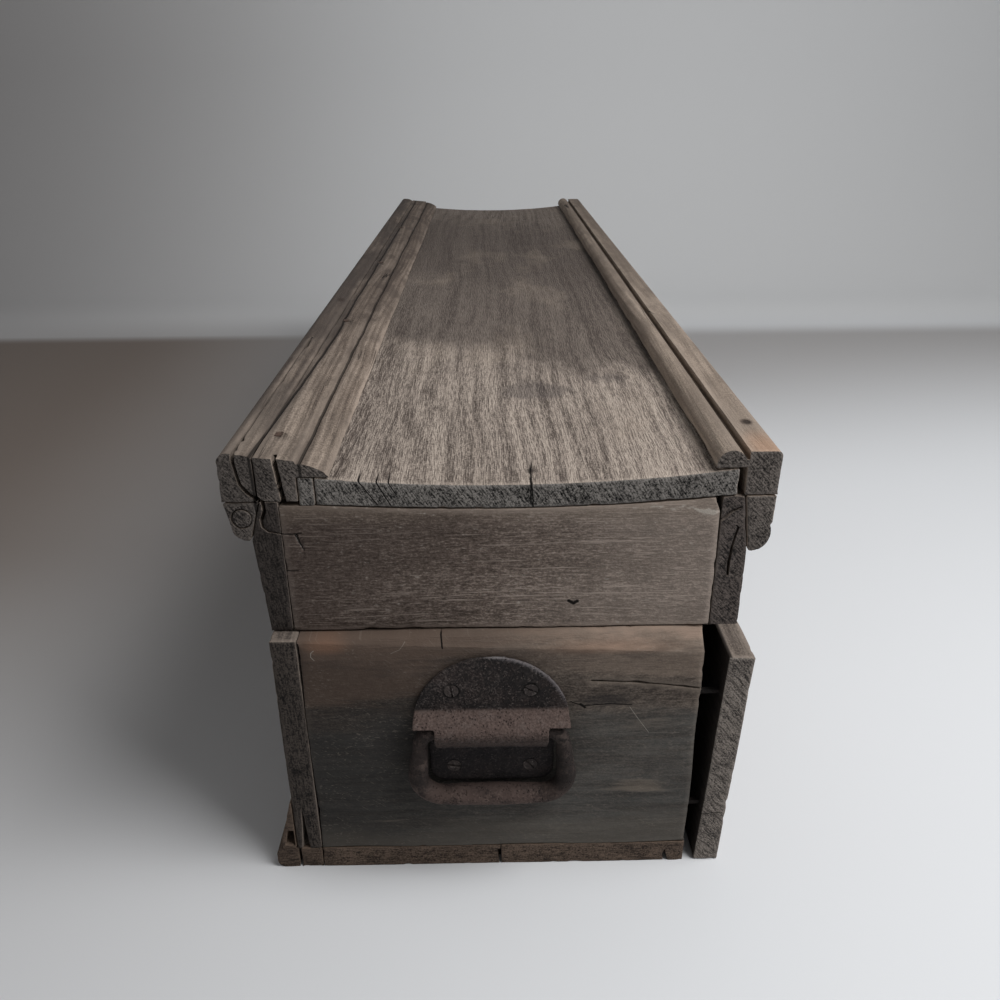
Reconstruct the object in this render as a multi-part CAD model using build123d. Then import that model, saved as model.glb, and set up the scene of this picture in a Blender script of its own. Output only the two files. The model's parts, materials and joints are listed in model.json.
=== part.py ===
from build123d import *
from math import asin, atan2, cos, degrees, hypot, radians, sin, sqrt
import os

# An old long tool chest of weathered boards, with a deep lid hinged along its left side.
# Origin: centre of the box on the floor. +Y runs along the length, and the near end is at -Y.
# +X is the open front side, where one side board has sprung out. All sizes are in mm.

# Base boards
base_length = 1110
base_inner_width = 227
base_side_thickness = 15.5
base_end_thickness = 15
base_board_height = 154.5
bottom_thickness = 15.5
bottom_joint_x = -2
wood_joint = 0.2

# Wear and damage of the base
sprung_out_top = 13.3
sprung_out_bottom = 6
worn_depth_left = 1.5
worn_depth_right = 11
sill_overhang = 13.4
sill_nose = 5
sill_crack_inset = 14
sill_crack_width = 1
sill_crack_length = 60
split_height = 30
split_width = 4
split_depth = 26
end_cut_narrowing = 0.4

# Sloping plinth moulding on the left sill
plinth_height = 36.5
plinth_foot = 9
plinth_foot_edge = 2
plinth_top_edge = 1.2
plinth_waist = 6.6
plinth_waist_share = 0.4
plinth_hollow_wall = 1.1
plinth_hollow_length = 22

# Lid boards
lid_setback = 10
lid_side_offset = 3
lid_side_thickness = 16
lid_end_thickness = 15
lid_board_height = 80
lid_left_wear = 3.5
seam_gap = 0.4

# Top panel, cupped across its width: heights are above the rail seat
panel_shrinkage = 20
panel_bearing = 7.5
panel_under_left = -2.4
panel_under_middle = -5.6
panel_under_right = 0.2
panel_top_left = 13.2
panel_top_middle = 8.2
panel_top_right = 15.4

# Rails along the top
rail_overhang = 13
rail_height = 25
outer_strip_width = 18.2
outer_strip_corner = 6
outer_strip_crown = 2.6
left_rail_wall = 21.4
left_rail_step = 2
left_lip_reach = 17.2
left_lip_drop = 1.6
left_lip_edge = 0.8
left_lip_rise = 6
left_lip_share = 0.55
left_step_lean = 0.4
right_rail_wall = 18.1
right_lip_reach = 15.8
right_lip_height = 15.9
bead_edge = 2
bead_crown = 0.6
bead_share = 0.45
quirk_inset = 0.6
quirk_width = 1.5
quirk_depth = 4.5
rail_corner_radius = 3.5
rail_face_lean = 0.4
end_check_inset = 9.4
end_check_lean = 3
end_check_width = 2.2
end_check_length = 28

# Cornice under the rails
cornice_height = 33
fascia_height = 16
cornice_setback = 0.2
cornice_step = 1.9
cornice_cove = 1.5
cornice_bead_height = 6
cornice_bead_width = 5
cornice_let_in = 4
worn_cornice_height = 23
worn_cornice_let_in = 6.5
worn_cornice_face = ((2.2, 10.5), (3.2, 19), (8, 23))
knot_inset = 3.5
knot_drop = 9.5
knot_radius = 5.8
knot_groove = 0.7
knot_depth = 2

# Cut nails
nail_head_length = 6
nail_head_width = 3.6
nail_head_thickness = 1.4
nail_shank = 2.6
nail_length = 38
nail_clearance = 0.1
nail_sunk = 0.4
base_nail_heights = (27, 111.5)
lid_nail_heights = (15, 38)
bottom_nail_inset = 28
rail_nail_pitch = 255
rail_nail_end_margin = 30
rail_nail_inset = 4
panel_nail_x = 16.6

# End handle: plate, rolled barrel and bail, placed down from the base's top edge
handle_offset = 6.6
handle_drop = 11
plate_width = 90.4
plate_thickness = 2.4
crease_rise = 11.7
back_plate_thickness = 2
back_plate_width = 73
back_plate_reach = 40.8
back_plate_corner = 9
barrel_clearance = 0.65
barrel_sheet = 2.4
barrel_turn_end = -40
tongue_width = 65
tongue_reach = 12
bail_bar_radius = 4.5
bail_axis_drop = 47.2
bail_arm_x = 40.4
bail_splay = 4.4
bail_bend_radius = 9.5
bail_corner_radius = 15
bail_grip_drop = 46.8
bail_grip_radius = 6
bail_grip_swell = 0.7
bail_end_gap = 1.2
bail_back_clearance = 0.5
bail_stop_clearance = 0.4
handle_screw_spacing = 45
upper_screw_drop = 22.4
lower_screw_rise = 11.2
handle_screw_turns = (62, 8, 35, 80)

# Butt hinges
hinge_inset = 225
hinge_length = 76
leaf_thickness = 2.1
leaf_edge_margin = 1.2
knuckle_radius = 3.2
knuckle_count = 5
knuckle_gap = 0.3
knuckle_air = 0.4
pin_radius = 1.6
pin_clearance = 0.05
hinge_screw_pitch = 26
hinge_screw_turns = (20, 70)

# Screws
screw_head_radius = 4.1
screw_head_depth = 2.3
screw_shank_radius = 2.1
screw_length = 13
screw_clearance = 0.1
slot_width = 1.1
slot_depth = 0.9

# Box hook on the front
hook_inset = 225
hook_length = 42
hook_thickness = 2
hook_air = 0.5
hook_bar_width = 8
hook_eye_radius = 7
hook_end_radius = 9
hook_pivot_height = 18
hook_catch_angle = 26
hook_slot_sweep = 60
hook_neck_radius = 2.2
hook_slot_clearance = 0.4
round_head_radius = 4.6
round_head_height = 2.6

# How far a cutting shape stands past what it cuts
cut_margin = 1

# Worked-out places
seam_z = bottom_thickness + base_board_height
lid_z = seam_z + seam_gap
seat_z = lid_z + lid_board_height
near_y = -base_length / 2
far_y = base_length / 2
lid_near_y = near_y + lid_setback
base_inner = base_inner_width / 2
base_outer = base_inner + base_side_thickness
lid_inner = base_inner + lid_side_offset
lid_outer = lid_inner + lid_side_thickness
panel_left_edge = lid_inner - panel_shrinkage
panel_right_edge = lid_inner + panel_bearing
rail_outer = lid_outer + rail_overhang
hinge_x = -(base_outer + knuckle_air + knuckle_radius)
hinge_z = seam_z + seam_gap / 2
bail_axis_proud = back_plate_thickness + bail_back_clearance + bail_bar_radius
barrel_inner = bail_bar_radius + barrel_clearance
barrel_outer = barrel_inner + barrel_sheet
plate_top = seam_z - handle_drop
bail_axis_height = plate_top - bail_axis_drop
plate_crease = bail_axis_height + crease_rise
back_plate_bottom = bail_axis_height - back_plate_reach
bail_grip_height = bail_axis_height - bail_grip_drop
upper_screw_height = plate_top - upper_screw_drop
lower_screw_height = back_plate_bottom + lower_screw_rise
hook_y = far_y - hook_inset
hook_pivot_z = lid_z + hook_pivot_height


def block(x0, x1, y0, y1, z0, z1):
    """A plain box between two corners."""
    size = Box(x1 - x0, y1 - y0, z1 - z0)
    return Pos((x0 + x1) / 2, (y0 + y1) / 2, (z0 + z1) / 2) * size


def cross_plane(y):
    """A plane across the length, with X to the right and Z up, whose normal points to the near end."""
    return Plane(origin=(0, y, 0), x_dir=(1, 0, 0), z_dir=(0, -1, 0))


def moulding(outline, y0, y1):
    """A strip along the length with the given closed outline in X and Z."""
    face = make_face(Curve() + outline)
    return extrude(cross_plane(y1) * face, amount=y1 - y0)


def closed_lines(points):
    """Straight lines through the points and back to the first."""
    return Polyline(*points, close=True)


def end_cut(points, y, depth):
    """A cut into the wood from the end at y: it has the given outline there and narrows inwards."""
    middle_x = sum(x for x, z in points) / len(points)
    middle_z = sum(z for x, z in points) / len(points)
    sections = []
    for place, size in ((y - cut_margin, 1), (y + depth, end_cut_narrowing)):
        corners = [
            (middle_x + size * (x - middle_x), place, middle_z + size * (z - middle_z)) for x, z in points]
        sections.append(make_face(Polyline(*corners, close=True)))
    return loft(sections, ruled=True)


class Arch:
    """A circle through three points that gives its height at any x."""

    def __init__(self, left, middle, right):
        (x1, z1), (x2, z2), (x3, z3) = left, middle, right
        d = 2 * (x1 * (z2 - z3) + x2 * (z3 - z1) + x3 * (z1 - z2))
        s1, s2, s3 = x1 * x1 + z1 * z1, x2 * x2 + z2 * z2, x3 * x3 + z3 * z3
        self.x = (s1 * (z2 - z3) + s2 * (z3 - z1) + s3 * (z1 - z2)) / d
        self.z = (s1 * (x3 - x2) + s2 * (x1 - x3) + s3 * (x2 - x1)) / d
        self.radius = hypot(x1 - self.x, z1 - self.z)

    def height(self, x):
        return self.z - sqrt(self.radius ** 2 - (x - self.x) ** 2)

    def curve(self, x0, x1, lift=0.0):
        xm = (x0 + x1) / 2
        ends = [(x, self.height(x) + lift) for x in (x0, xm, x1)]
        return ThreePointArc(*ends)


panel_middle_x = (panel_right_edge - panel_left_edge) / 2
under_arch = Arch(
    (-panel_left_edge, seat_z + panel_under_left),
    (panel_middle_x, seat_z + panel_under_middle),
    (panel_right_edge, seat_z + panel_under_right),
)
top_arch = Arch(
    (-panel_left_edge, seat_z + panel_top_left),
    (panel_middle_x, seat_z + panel_top_middle),
    (panel_right_edge, seat_z + panel_top_right),
)


# Cut nails and screws, with the holes that take them

def nail(play=0.0, length=nail_length, head=True):
    """A cut nail along -Z, with the top of its head at the origin."""
    shank_side = nail_shank + 2 * play
    shank = Pos(0, 0, -length / 2) * Box(shank_side, shank_side, length)
    if not head:
        return shank
    depth = nail_head_thickness + play
    cap_size = (nail_head_width + 2 * play, nail_head_length + 2 * play, depth)
    return shank + Pos(0, 0, -depth / 2) * Box(*cap_size)


def flat_screw(turn=0.0):
    """A slotted countersunk screw along -Z, with the face of its head at the origin."""
    cone = Pos(0, 0, -screw_head_depth / 2) * Cone(screw_shank_radius, screw_head_radius, screw_head_depth)
    shank = Pos(0, 0, -screw_length / 2) * Cylinder(screw_shank_radius, screw_length)
    slot = Rot(0, 0, turn) * Box(3 * screw_head_radius, slot_width, 2 * slot_depth)
    return cone + shank - slot


def flat_screw_hole():
    """The countersunk hole for a flat screw."""
    play = screw_clearance
    cone = Pos(0, 0, -screw_head_depth / 2) * Cone(
        screw_shank_radius + play, screw_head_radius + play, screw_head_depth)
    length = screw_length + play
    return cone + Pos(0, 0, -length / 2) * Cylinder(screw_shank_radius + play, length)


def joined(pieces):
    """Separate solids kept together as one group."""
    return Compound(children=[solid for piece in pieces for solid in piece.solids()])


def cut_all(body, tools):
    for tool in tools:
        body -= tool
    return body


# Where the nails go: each place is a location whose -Z points into the wood

def facing(x, y, z, direction):
    """A location with its Z along the given direction."""
    return Plane(origin=(x, y, z), z_dir=direction).location


def base_nail_places(side):
    """Corner nails driven through a side board into the end boards; side is -1 or 1."""
    places = []
    for end in (-1, 1):
        if side == 1 and end == -1:
            continue
        y = end * (far_y - base_end_thickness / 2)
        for height in base_nail_heights:
            z = bottom_thickness + height
            x = side_face_x(side, y, z) - side * nail_sunk
            places.append(facing(x, y, z, (side, 0, 0)))
    return places


def lid_nail_places(side):
    places = []
    for y in (lid_near_y + lid_end_thickness / 2, far_y - lid_end_thickness / 2):
        for height in lid_nail_heights:
            face = lid_outer if side == 1 else lid_left_face(height)
            places.append(facing(side * (face - nail_sunk), y, lid_z + height, (side, 0, 0)))
    return places


def lid_left_face(height):
    """Distance of the worn left face of the lid from the middle, at a height above its lower edge."""
    clear = lid_board_height - worn_cornice_height
    worn = lid_left_wear * max(0.0, 1 - height / clear)
    return lid_outer - worn


def sprung_nail_places():
    """Headless nails left in the near end board, across the gap that the sprung board left."""
    y = near_y + base_end_thickness / 2
    gap_side = [(side_face_x(1, y, bottom_thickness + h, inner=True), bottom_thickness + h)
                for h in base_nail_heights]
    return [facing(x - wood_joint, y, z, (1, 0, 0)) for x, z in gap_side]


def bottom_nail_places():
    places = []
    for end in (-1, 1):
        y = end * (far_y - base_end_thickness / 2)
        for x in (-base_inner + bottom_nail_inset, base_inner - bottom_nail_inset):
            places.append(facing(x, y, nail_sunk, (0, 0, -1)))
    return places


def sill_nail_places():
    x = -base_inner - base_side_thickness / 2
    ys = [y + rail_nail_pitch / 2 for y in rail_nail_rows()[:-1]]
    return [facing(x, y, nail_sunk, (0, 0, -1)) for y in ys]


def rail_nail_rows():
    half = int((-lid_near_y - rail_nail_end_margin) // rail_nail_pitch)
    return [rail_nail_pitch * i for i in range(-half, half + 1)]


def rail_nail_places(side):
    """Nails down through the rails into the lid's side boards."""
    x = side * (lid_inner + rail_nail_inset)
    top = seat_z + rail_height - nail_sunk
    return [facing(x, y, top, (0, 0, 1)) for y in rail_nail_rows()]


def panel_nail_places():
    top = top_arch.height(panel_nail_x) - nail_sunk
    ys = (lid_near_y + lid_end_thickness / 2, far_y - lid_end_thickness / 2)
    return [facing(panel_nail_x, y, top, (0, 0, 1)) for y in ys]


def nails(places, length=nail_length, head=True):
    return [place * nail(0.0, length, head) for place in places]


def nail_holes(places, length=nail_length, head=True):
    return [place * nail(nail_clearance, length, head) for place in places]


# Base

sprung_lean = asin((sprung_out_top - sprung_out_bottom) / base_board_height)


def sprung_corners(end):
    """The four corners of the right side board's section at an end: bottom and top, inner then outer."""
    seat = base_inner + wood_joint
    if end == 1:
        z0, z1 = bottom_thickness, seam_z
        return [(seat, z0), (seat + base_side_thickness, z0), (seat + base_side_thickness, z1), (seat, z1)]
    foot_x = seat + sprung_out_bottom + base_side_thickness * cos(sprung_lean)
    across = (-base_side_thickness * cos(sprung_lean), base_side_thickness * sin(sprung_lean))
    up = (base_board_height * sin(sprung_lean), base_board_height * cos(sprung_lean))
    inner = (foot_x + across[0], across[1])
    outer = (foot_x, 0.0)
    return [inner, outer, (outer[0] + up[0], outer[1] + up[1]), (inner[0] + up[0], inner[1] + up[1])]


def side_face_x(side, y, z, inner=False):
    """Where a base side board's face lies across the box, at a place along it and a height."""
    if side == -1:
        return -base_inner if inner else -base_outer
    share = (y - near_y) / base_length
    low, high = (0, 3) if inner else (1, 2)
    x_at, z_at = [], []
    for corner in (low, high):
        near, far = sprung_corners(-1)[corner], sprung_corners(1)[corner]
        x_at.append(near[0] + share * (far[0] - near[0]))
        z_at.append(near[1] + share * (far[1] - near[1]))
    return x_at[0] + (z - z_at[0]) / (z_at[1] - z_at[0]) * (x_at[1] - x_at[0])


def base_end(end):
    """An end board: the near one is worn away along its top edge, more towards the right."""
    half = base_inner - wood_joint
    inside = far_y - base_end_thickness
    z0 = bottom_thickness + wood_joint
    if end == 1:
        board = block(-half, half, inside, far_y, z0, seam_z)
    else:
        sections = []
        for x, worn in ((-half, worn_depth_left), (half, worn_depth_right)):
            worn_edge = [(near_y, seam_z - worn), (near_y + worn, seam_z)]
            points = [(near_y, z0)] + worn_edge + [(-inside, seam_z), (-inside, z0)]
            sections.append(make_face(Polyline(*[(x, y, z) for y, z in points], close=True)))
        board = loft(sections, ruled=True)
    holes = nail_holes(base_nail_places(-1) + base_nail_places(1) + bottom_nail_places())
    holes += nail_holes(sprung_nail_places(), head=False)
    holes += [place * flat_screw_hole() for place in handle_screw_places(end)]
    return cut_all(board, holes)


def base_side_left():
    z0 = bottom_thickness + wood_joint
    board = block(-base_outer, -base_inner, near_y, far_y, z0, seam_z)
    split_x = -base_inner - base_side_thickness / 2
    foot = z0 - cut_margin
    split = [(split_x - split_width, foot), (split_x, foot), (split_x - split_width / 2, z0 + split_height)]
    tools = [end_cut(split, near_y, split_depth)] + [leaf_recess(y, -1) for y in hinge_places()]
    tools += nail_holes(base_nail_places(-1) + sill_nail_places())
    tools += hinge_screw_holes(-1)
    return cut_all(board, tools)


def base_side_right():
    """The side board that has sprung out and dropped to the floor at the near end."""
    sections = []
    for end, y in ((-1, near_y), (1, far_y)):
        points = [(x, y, z) for x, z in sprung_corners(end)]
        sections.append(make_face(Polyline(*points, close=True)))
    board = loft(sections, ruled=True)
    return cut_all(board, nail_holes(base_nail_places(1)) + [catch_hole()])


def bottom_board(side):
    """One of the two boards of the bottom, which meet under the middle."""
    edges = sorted((side * base_inner, bottom_joint_x + side * wood_joint))
    board = block(*edges, near_y, far_y, 0, bottom_thickness)
    return cut_all(board, nail_holes(bottom_nail_places()))


def sill_left():
    """The strip under the left side board, with a rounded nose that stands out past it."""
    x1 = -base_inner - wood_joint
    x0 = -base_outer - sill_overhang
    section = RectangleRounded(x1 - x0, bottom_thickness, sill_nose)
    square = Pos(sill_nose / 2, 0) * Rectangle(x1 - x0 - sill_nose, bottom_thickness)
    face = Pos((x0 + x1) / 2, bottom_thickness / 2) * (section + square)
    strip = extrude(cross_plane(far_y) * face, amount=base_length)
    crack_x = x1 - sill_crack_inset
    crack = block(
        crack_x - sill_crack_width / 2, crack_x + sill_crack_width / 2,
        near_y - cut_margin, near_y + sill_crack_length, -cut_margin, bottom_thickness + cut_margin)
    return cut_all(strip, [crack] + nail_holes(sill_nail_places()))


def plinth_left():
    """The sloping moulding on the sill, hollow where its near end has broken away."""
    back = -base_outer - wood_joint
    z0 = bottom_thickness + wood_joint
    top = z0 + plinth_height
    foot = back - plinth_foot
    waist = (back - plinth_waist, z0 + plinth_waist_share * plinth_height)
    edge = (foot, z0 + plinth_foot_edge)
    crown = (back - plinth_top_edge, top)
    outline = [
        Line((back, z0), (back, top)),
        Line((back, top), crown),
        Spline(crown, waist, edge),
        Line(edge, (foot, z0)),
        Line((foot, z0), (back, z0)),
    ]
    strip = moulding(outline, near_y, far_y)
    wall = plinth_hollow_wall
    floor = z0 + plinth_foot_edge
    hollow = [
        (back - wall, floor), (foot + 2 * wall, floor),
        (waist[0] + 2 * wall, waist[1]), (back - wall, waist[1])]
    return strip - end_cut(hollow, near_y, plinth_hollow_length)


# Lid

def lid_end(end):
    """An end board of the lid, whose top edge follows the cupped panel."""
    y0 = lid_near_y if end == -1 else far_y - lid_end_thickness
    half = lid_inner - wood_joint
    shelf_z = under_arch.height(-panel_left_edge) - wood_joint
    top_right = (half, under_arch.height(half) - wood_joint)
    outline = [
        Line((-half, lid_z), (half, lid_z)),
        Line((half, lid_z), top_right),
        under_arch.curve(half, -panel_left_edge, -wood_joint),
        Line((-panel_left_edge, shelf_z), (-half, shelf_z)),
        Line((-half, shelf_z), (-half, lid_z)),
    ]
    board = moulding(outline, y0, y0 + lid_end_thickness)
    holes = nail_holes(lid_nail_places(-1) + lid_nail_places(1) + panel_nail_places())
    return cut_all(board, holes)


def lid_side_left():
    """The hinged side of the lid: worn thinner downwards, and let in at the top for the cornice."""
    foot = lid_outer - lid_left_wear
    let_in_z = seat_z - worn_cornice_height
    points = [
        (-lid_inner, lid_z), (-foot, lid_z), (-lid_outer, let_in_z),
        (-lid_outer + worn_cornice_let_in, seat_z - wood_joint), (-lid_inner, seat_z - wood_joint),
    ]
    board = moulding(closed_lines(points), lid_near_y, far_y)
    tools = [leaf_recess(y, 1) for y in hinge_places()]
    tools += nail_holes(lid_nail_places(-1) + rail_nail_places(-1)) + hinge_screw_holes(1)
    return cut_all(board, tools)


def lid_side_right():
    """The front of the lid, bevelled along its top for the panel's edge and for the cornice."""
    let_in_z = seat_z - cornice_height
    top = seat_z - wood_joint
    points = [
        (lid_inner, lid_z), (lid_outer, lid_z), (lid_outer, let_in_z), (lid_outer - cornice_let_in, top),
        (panel_right_edge, top), (lid_inner, under_arch.height(lid_inner) - wood_joint),
    ]
    board = moulding(closed_lines(points), lid_near_y, far_y)
    tools = nail_holes(lid_nail_places(1) + rail_nail_places(1)) + [hook_screw_hole()]
    return cut_all(board, tools)


def lid_panel():
    """The wide top board, cupped across its width."""
    x0, x1 = -panel_left_edge, panel_right_edge
    outline = [
        under_arch.curve(x0, x1),
        Line((x1, under_arch.height(x1)), (x1, top_arch.height(x1))),
        top_arch.curve(x1, x0),
        Line((x0, top_arch.height(x0)), (x0, under_arch.height(x0))),
    ]
    holes = nail_holes(panel_nail_places() + rail_nail_places(1))
    return cut_all(moulding(outline, lid_near_y, far_y), holes)


def left_wall_x():
    """The face of the left rail's rebate."""
    return -rail_outer + outer_strip_width + wood_joint + left_rail_wall


def panel_filler():
    """The strip that fills the left rebate beside the shrunken panel."""
    x0 = left_wall_x() + wood_joint
    x1 = -panel_left_edge - wood_joint
    z0 = under_arch.height(-panel_left_edge)
    return block(x0, x1, lid_near_y, far_y, z0, top_arch.height(-panel_left_edge))


def rail_left_outer():
    """The plain outer strip of the left rail, with a crowned top."""
    x0 = -rail_outer
    x1 = x0 + outer_strip_width
    top = seat_z + rail_height
    crown = top + outer_strip_crown
    corner = outer_strip_corner
    outline = [
        Line((x1, seat_z), (x0, seat_z)),
        Line((x0, seat_z), (x0, crown - corner)),
        RadiusArc((x0, crown - corner), (x0 + corner, crown), corner),
        TangentArc((x0 + corner, crown), (x1, top), tangent=(1, 0)),
        Line((x1, top), (x1, seat_z)),
    ]
    return moulding(outline, lid_near_y, far_y)


def rail_left_inner():
    """The moulded strip of the left rail: a step, then a lip that slopes down onto the panel."""
    wall = left_wall_x()
    x0 = wall - left_rail_wall
    top = seat_z + rail_height
    under = top_arch.height(-panel_left_edge) + wood_joint
    tip = wall + left_lip_reach
    step = (wall + left_step_lean, top - left_rail_step)
    lip_start = (wall + 2 * left_step_lean, step[1] - left_lip_drop)
    lip_middle = (wall + left_lip_share * left_lip_reach, under + left_lip_rise)
    lip_end = (tip, under + left_lip_edge)
    outline = [
        Line((x0, seat_z), (wall, seat_z)),
        Line((wall, seat_z), (wall, under)),
        Line((wall, under), (tip, under)),
        Line((tip, under), lip_end),
        ThreePointArc(lip_end, lip_middle, lip_start),
        Line(lip_start, step),
        Line(step, (x0, top)),
        Line((x0, top), (x0, seat_z)),
    ]
    strip = moulding(outline, lid_near_y, far_y)
    crown = (wall - end_check_inset, top + cut_margin)
    foot = (crown[0] + end_check_lean, seat_z - cut_margin)
    check = [crown, (crown[0] - end_check_width, crown[1]), (foot[0] - end_check_width, foot[1]), foot]
    tools = [end_cut(check, lid_near_y, end_check_length)] + nail_holes(rail_nail_places(-1))
    return cut_all(strip, tools)


def rail_right():
    """The right rail: one piece with a bead along its lip, a deep quirk and a flat outer part."""
    wall = rail_outer - right_rail_wall
    tip = wall - right_lip_reach
    top = seat_z + rail_height
    lip_z = seat_z + right_lip_height
    quirk_x = wall - quirk_inset
    quirk_z = top - quirk_depth
    radius = rail_corner_radius
    bead_start = (tip, lip_z + bead_edge)
    bead_top = (tip + bead_share * right_lip_reach, top + bead_crown)
    foot = (rail_outer - rail_face_lean, seat_z)
    outline = [
        Line((wall, seat_z), (wall, lip_z)),
        Line((wall, lip_z), (tip, lip_z)),
        Line((tip, lip_z), bead_start),
        ThreePointArc(bead_start, bead_top, (quirk_x, quirk_z)),
        Line((quirk_x, quirk_z), (quirk_x + quirk_width, quirk_z)),
        Line((quirk_x + quirk_width, quirk_z), (quirk_x + quirk_width, top)),
        Line((quirk_x + quirk_width, top), (rail_outer - radius, top)),
        RadiusArc((rail_outer - radius, top), (rail_outer, top - radius), radius),
        Line((rail_outer, top - radius), foot),
        Line(foot, (wall, seat_z)),
    ]
    return cut_all(moulding(outline, lid_near_y, far_y), nail_holes(rail_nail_places(1)))


def cornice_right():
    """The moulding under the right rail: a flat fascia, a small step and a bead below it."""
    back = lid_outer + wood_joint
    face = rail_outer - cornice_setback
    top = seat_z - wood_joint
    foot = seat_z - cornice_height
    step = (face - rail_face_lean, seat_z - fascia_height)
    bead_start = (face - cornice_step, step[1] - cornice_cove)
    bead_nose = (bead_start[0] - cornice_setback, foot + cornice_bead_height)
    bead_end = (back + cornice_bead_width, foot)
    outline = [
        Line((back - cornice_let_in, top), (face, top)),
        Line((face, top), step),
        Line(step, bead_start),
        ThreePointArc(bead_start, bead_nose, bead_end),
        Line(bead_end, (back, foot)),
        Line((back, foot), (back - cornice_let_in, top)),
    ]
    return moulding(outline, lid_near_y, far_y)


def cornice_left():
    """The left moulding, its bead worn away, with a round knot in its near end."""
    back = -lid_outer - wood_joint
    face = -rail_outer + cornice_setback
    top = seat_z - wood_joint
    worn = [(face + inwards, seat_z - depth) for inwards, depth in worn_cornice_face]
    outline = closed_lines(
        [(back + worn_cornice_let_in, top), (face, top)] + worn + [(back, seat_z - worn_cornice_height)])
    strip = moulding(outline, lid_near_y, far_y)
    knot_place = Plane(origin=(back - knot_inset, lid_near_y, top - knot_drop), z_dir=(0, 1, 0)).location
    ring = Cylinder(knot_radius, 2 * knot_depth) - Cylinder(knot_radius - knot_groove, 2 * knot_depth)
    return strip - knot_place * ring


# Hinges

def hinge_places():
    return (near_y + hinge_inset, far_y - hinge_inset)


def leaf_recess(y, level):
    """The housing for a leaf: in the base's top edge (level -1) or the lid's lower edge (level 1)."""
    half = hinge_length / 2 + wood_joint
    z0, z1 = (seam_z - leaf_thickness, seam_z + cut_margin)
    if level == 1:
        z0, z1 = (lid_z - cut_margin, lid_z + leaf_thickness)
    inside = -lid_inner - leaf_edge_margin + wood_joint
    return block(-lid_outer - cut_margin, inside, y - half, y + half, z0, z1)


def knuckle_spans(level):
    """The stretches of the hinge's length that belong to a leaf's knuckles."""
    pitch = hinge_length / knuckle_count
    first = 0 if level == -1 else 1
    start = -hinge_length / 2
    return [(start + i * pitch, start + (i + 1) * pitch) for i in range(first, knuckle_count, 2)]


def along_y(radius, y0, y1):
    """A cylinder along the hinge line."""
    return Pos(hinge_x, (y0 + y1) / 2, hinge_z) * Rot(90, 0, 0) * Cylinder(radius, y1 - y0)


def hinge_screw_places(level):
    places = []
    for y in hinge_places():
        for step in (-1, 0, 1):
            z = seam_z if level == -1 else lid_z
            x = -(lid_inner + leaf_edge_margin + base_outer) / 2
            places.append(facing(x, y + step * hinge_screw_pitch, z, (0, 0, -level)))
    return places


def hinge_screw_holes(level):
    return [place * flat_screw_hole() for place in hinge_screw_places(level)]


def hinge_leaf(y, level):
    """A leaf with its rolled knuckles: level -1 is let into the base, 1 into the lid."""
    half = hinge_length / 2
    z0, z1 = (seam_z - leaf_thickness, seam_z) if level == -1 else (lid_z, lid_z + leaf_thickness)
    leaf = block(hinge_x, -lid_inner - leaf_edge_margin, y - half, y + half, z0, z1)
    for y0, y1 in knuckle_spans(-level):
        start, stop = y + y0 - knuckle_gap, y + y1 + knuckle_gap
        leaf -= along_y(knuckle_radius + knuckle_air, start, stop)
        leaf -= block(hinge_x - cut_margin, hinge_x + knuckle_radius, start, stop, z0, z1)
    for y0, y1 in knuckle_spans(level):
        leaf += along_y(knuckle_radius, y + y0, y + y1)
    leaf -= along_y(pin_radius + pin_clearance, y - half - cut_margin, y + half + cut_margin)
    return cut_all(leaf, hinge_screw_holes(level))


def hinge_pin(y):
    return along_y(pin_radius, y - hinge_length / 2, y + hinge_length / 2)


# End handles, modelled on the near end and turned round for the far one

def handle_location(end):
    """The handle's own frame: X along the plate, Y out of the board, Z up from the floor."""
    turn = 180 if end == -1 else 0
    return Pos(end * handle_offset, end * far_y, 0) * Rot(0, 0, turn)


def handle_screw_places(end):
    """Upper screws hold the front plate, and lower ones the back plate."""
    places = []
    rows = ((upper_screw_height, plate_thickness), (lower_screw_height, back_plate_thickness))
    for height, proud in rows:
        for side in (-1, 1):
            spot = Plane(origin=(side * handle_screw_spacing / 2, proud, height), z_dir=(0, 1, 0)).location
            places.append(handle_location(end) * spot)
    return places


def handle_screws(end):
    places = zip(handle_screw_places(end), handle_screw_turns)
    return joined([place * flat_screw(turn) for place, turn in places])


def handle_back_plate(end):
    """The back plate, with rounded lower corners, that carries the lower screws behind the bail."""
    top = plate_crease - wood_joint - barrel_sheet
    height = top - back_plate_bottom
    sheet = RectangleRounded(back_plate_width, height + back_plate_corner, back_plate_corner)
    sheet = Pos(0, back_plate_bottom + (height + back_plate_corner) / 2) * sheet
    trim = Pos(0, top + back_plate_corner) * Rectangle(2 * back_plate_width, 2 * back_plate_corner)
    plane = Plane(origin=(0, 0, 0), x_dir=(-1, 0, 0), z_dir=(0, 1, 0))
    plate = extrude(plane * (sheet - trim), amount=back_plate_thickness)
    plate = handle_location(end) * plate
    return cut_all(plate, [place * flat_screw_hole() for place in handle_screw_places(end)])


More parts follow.
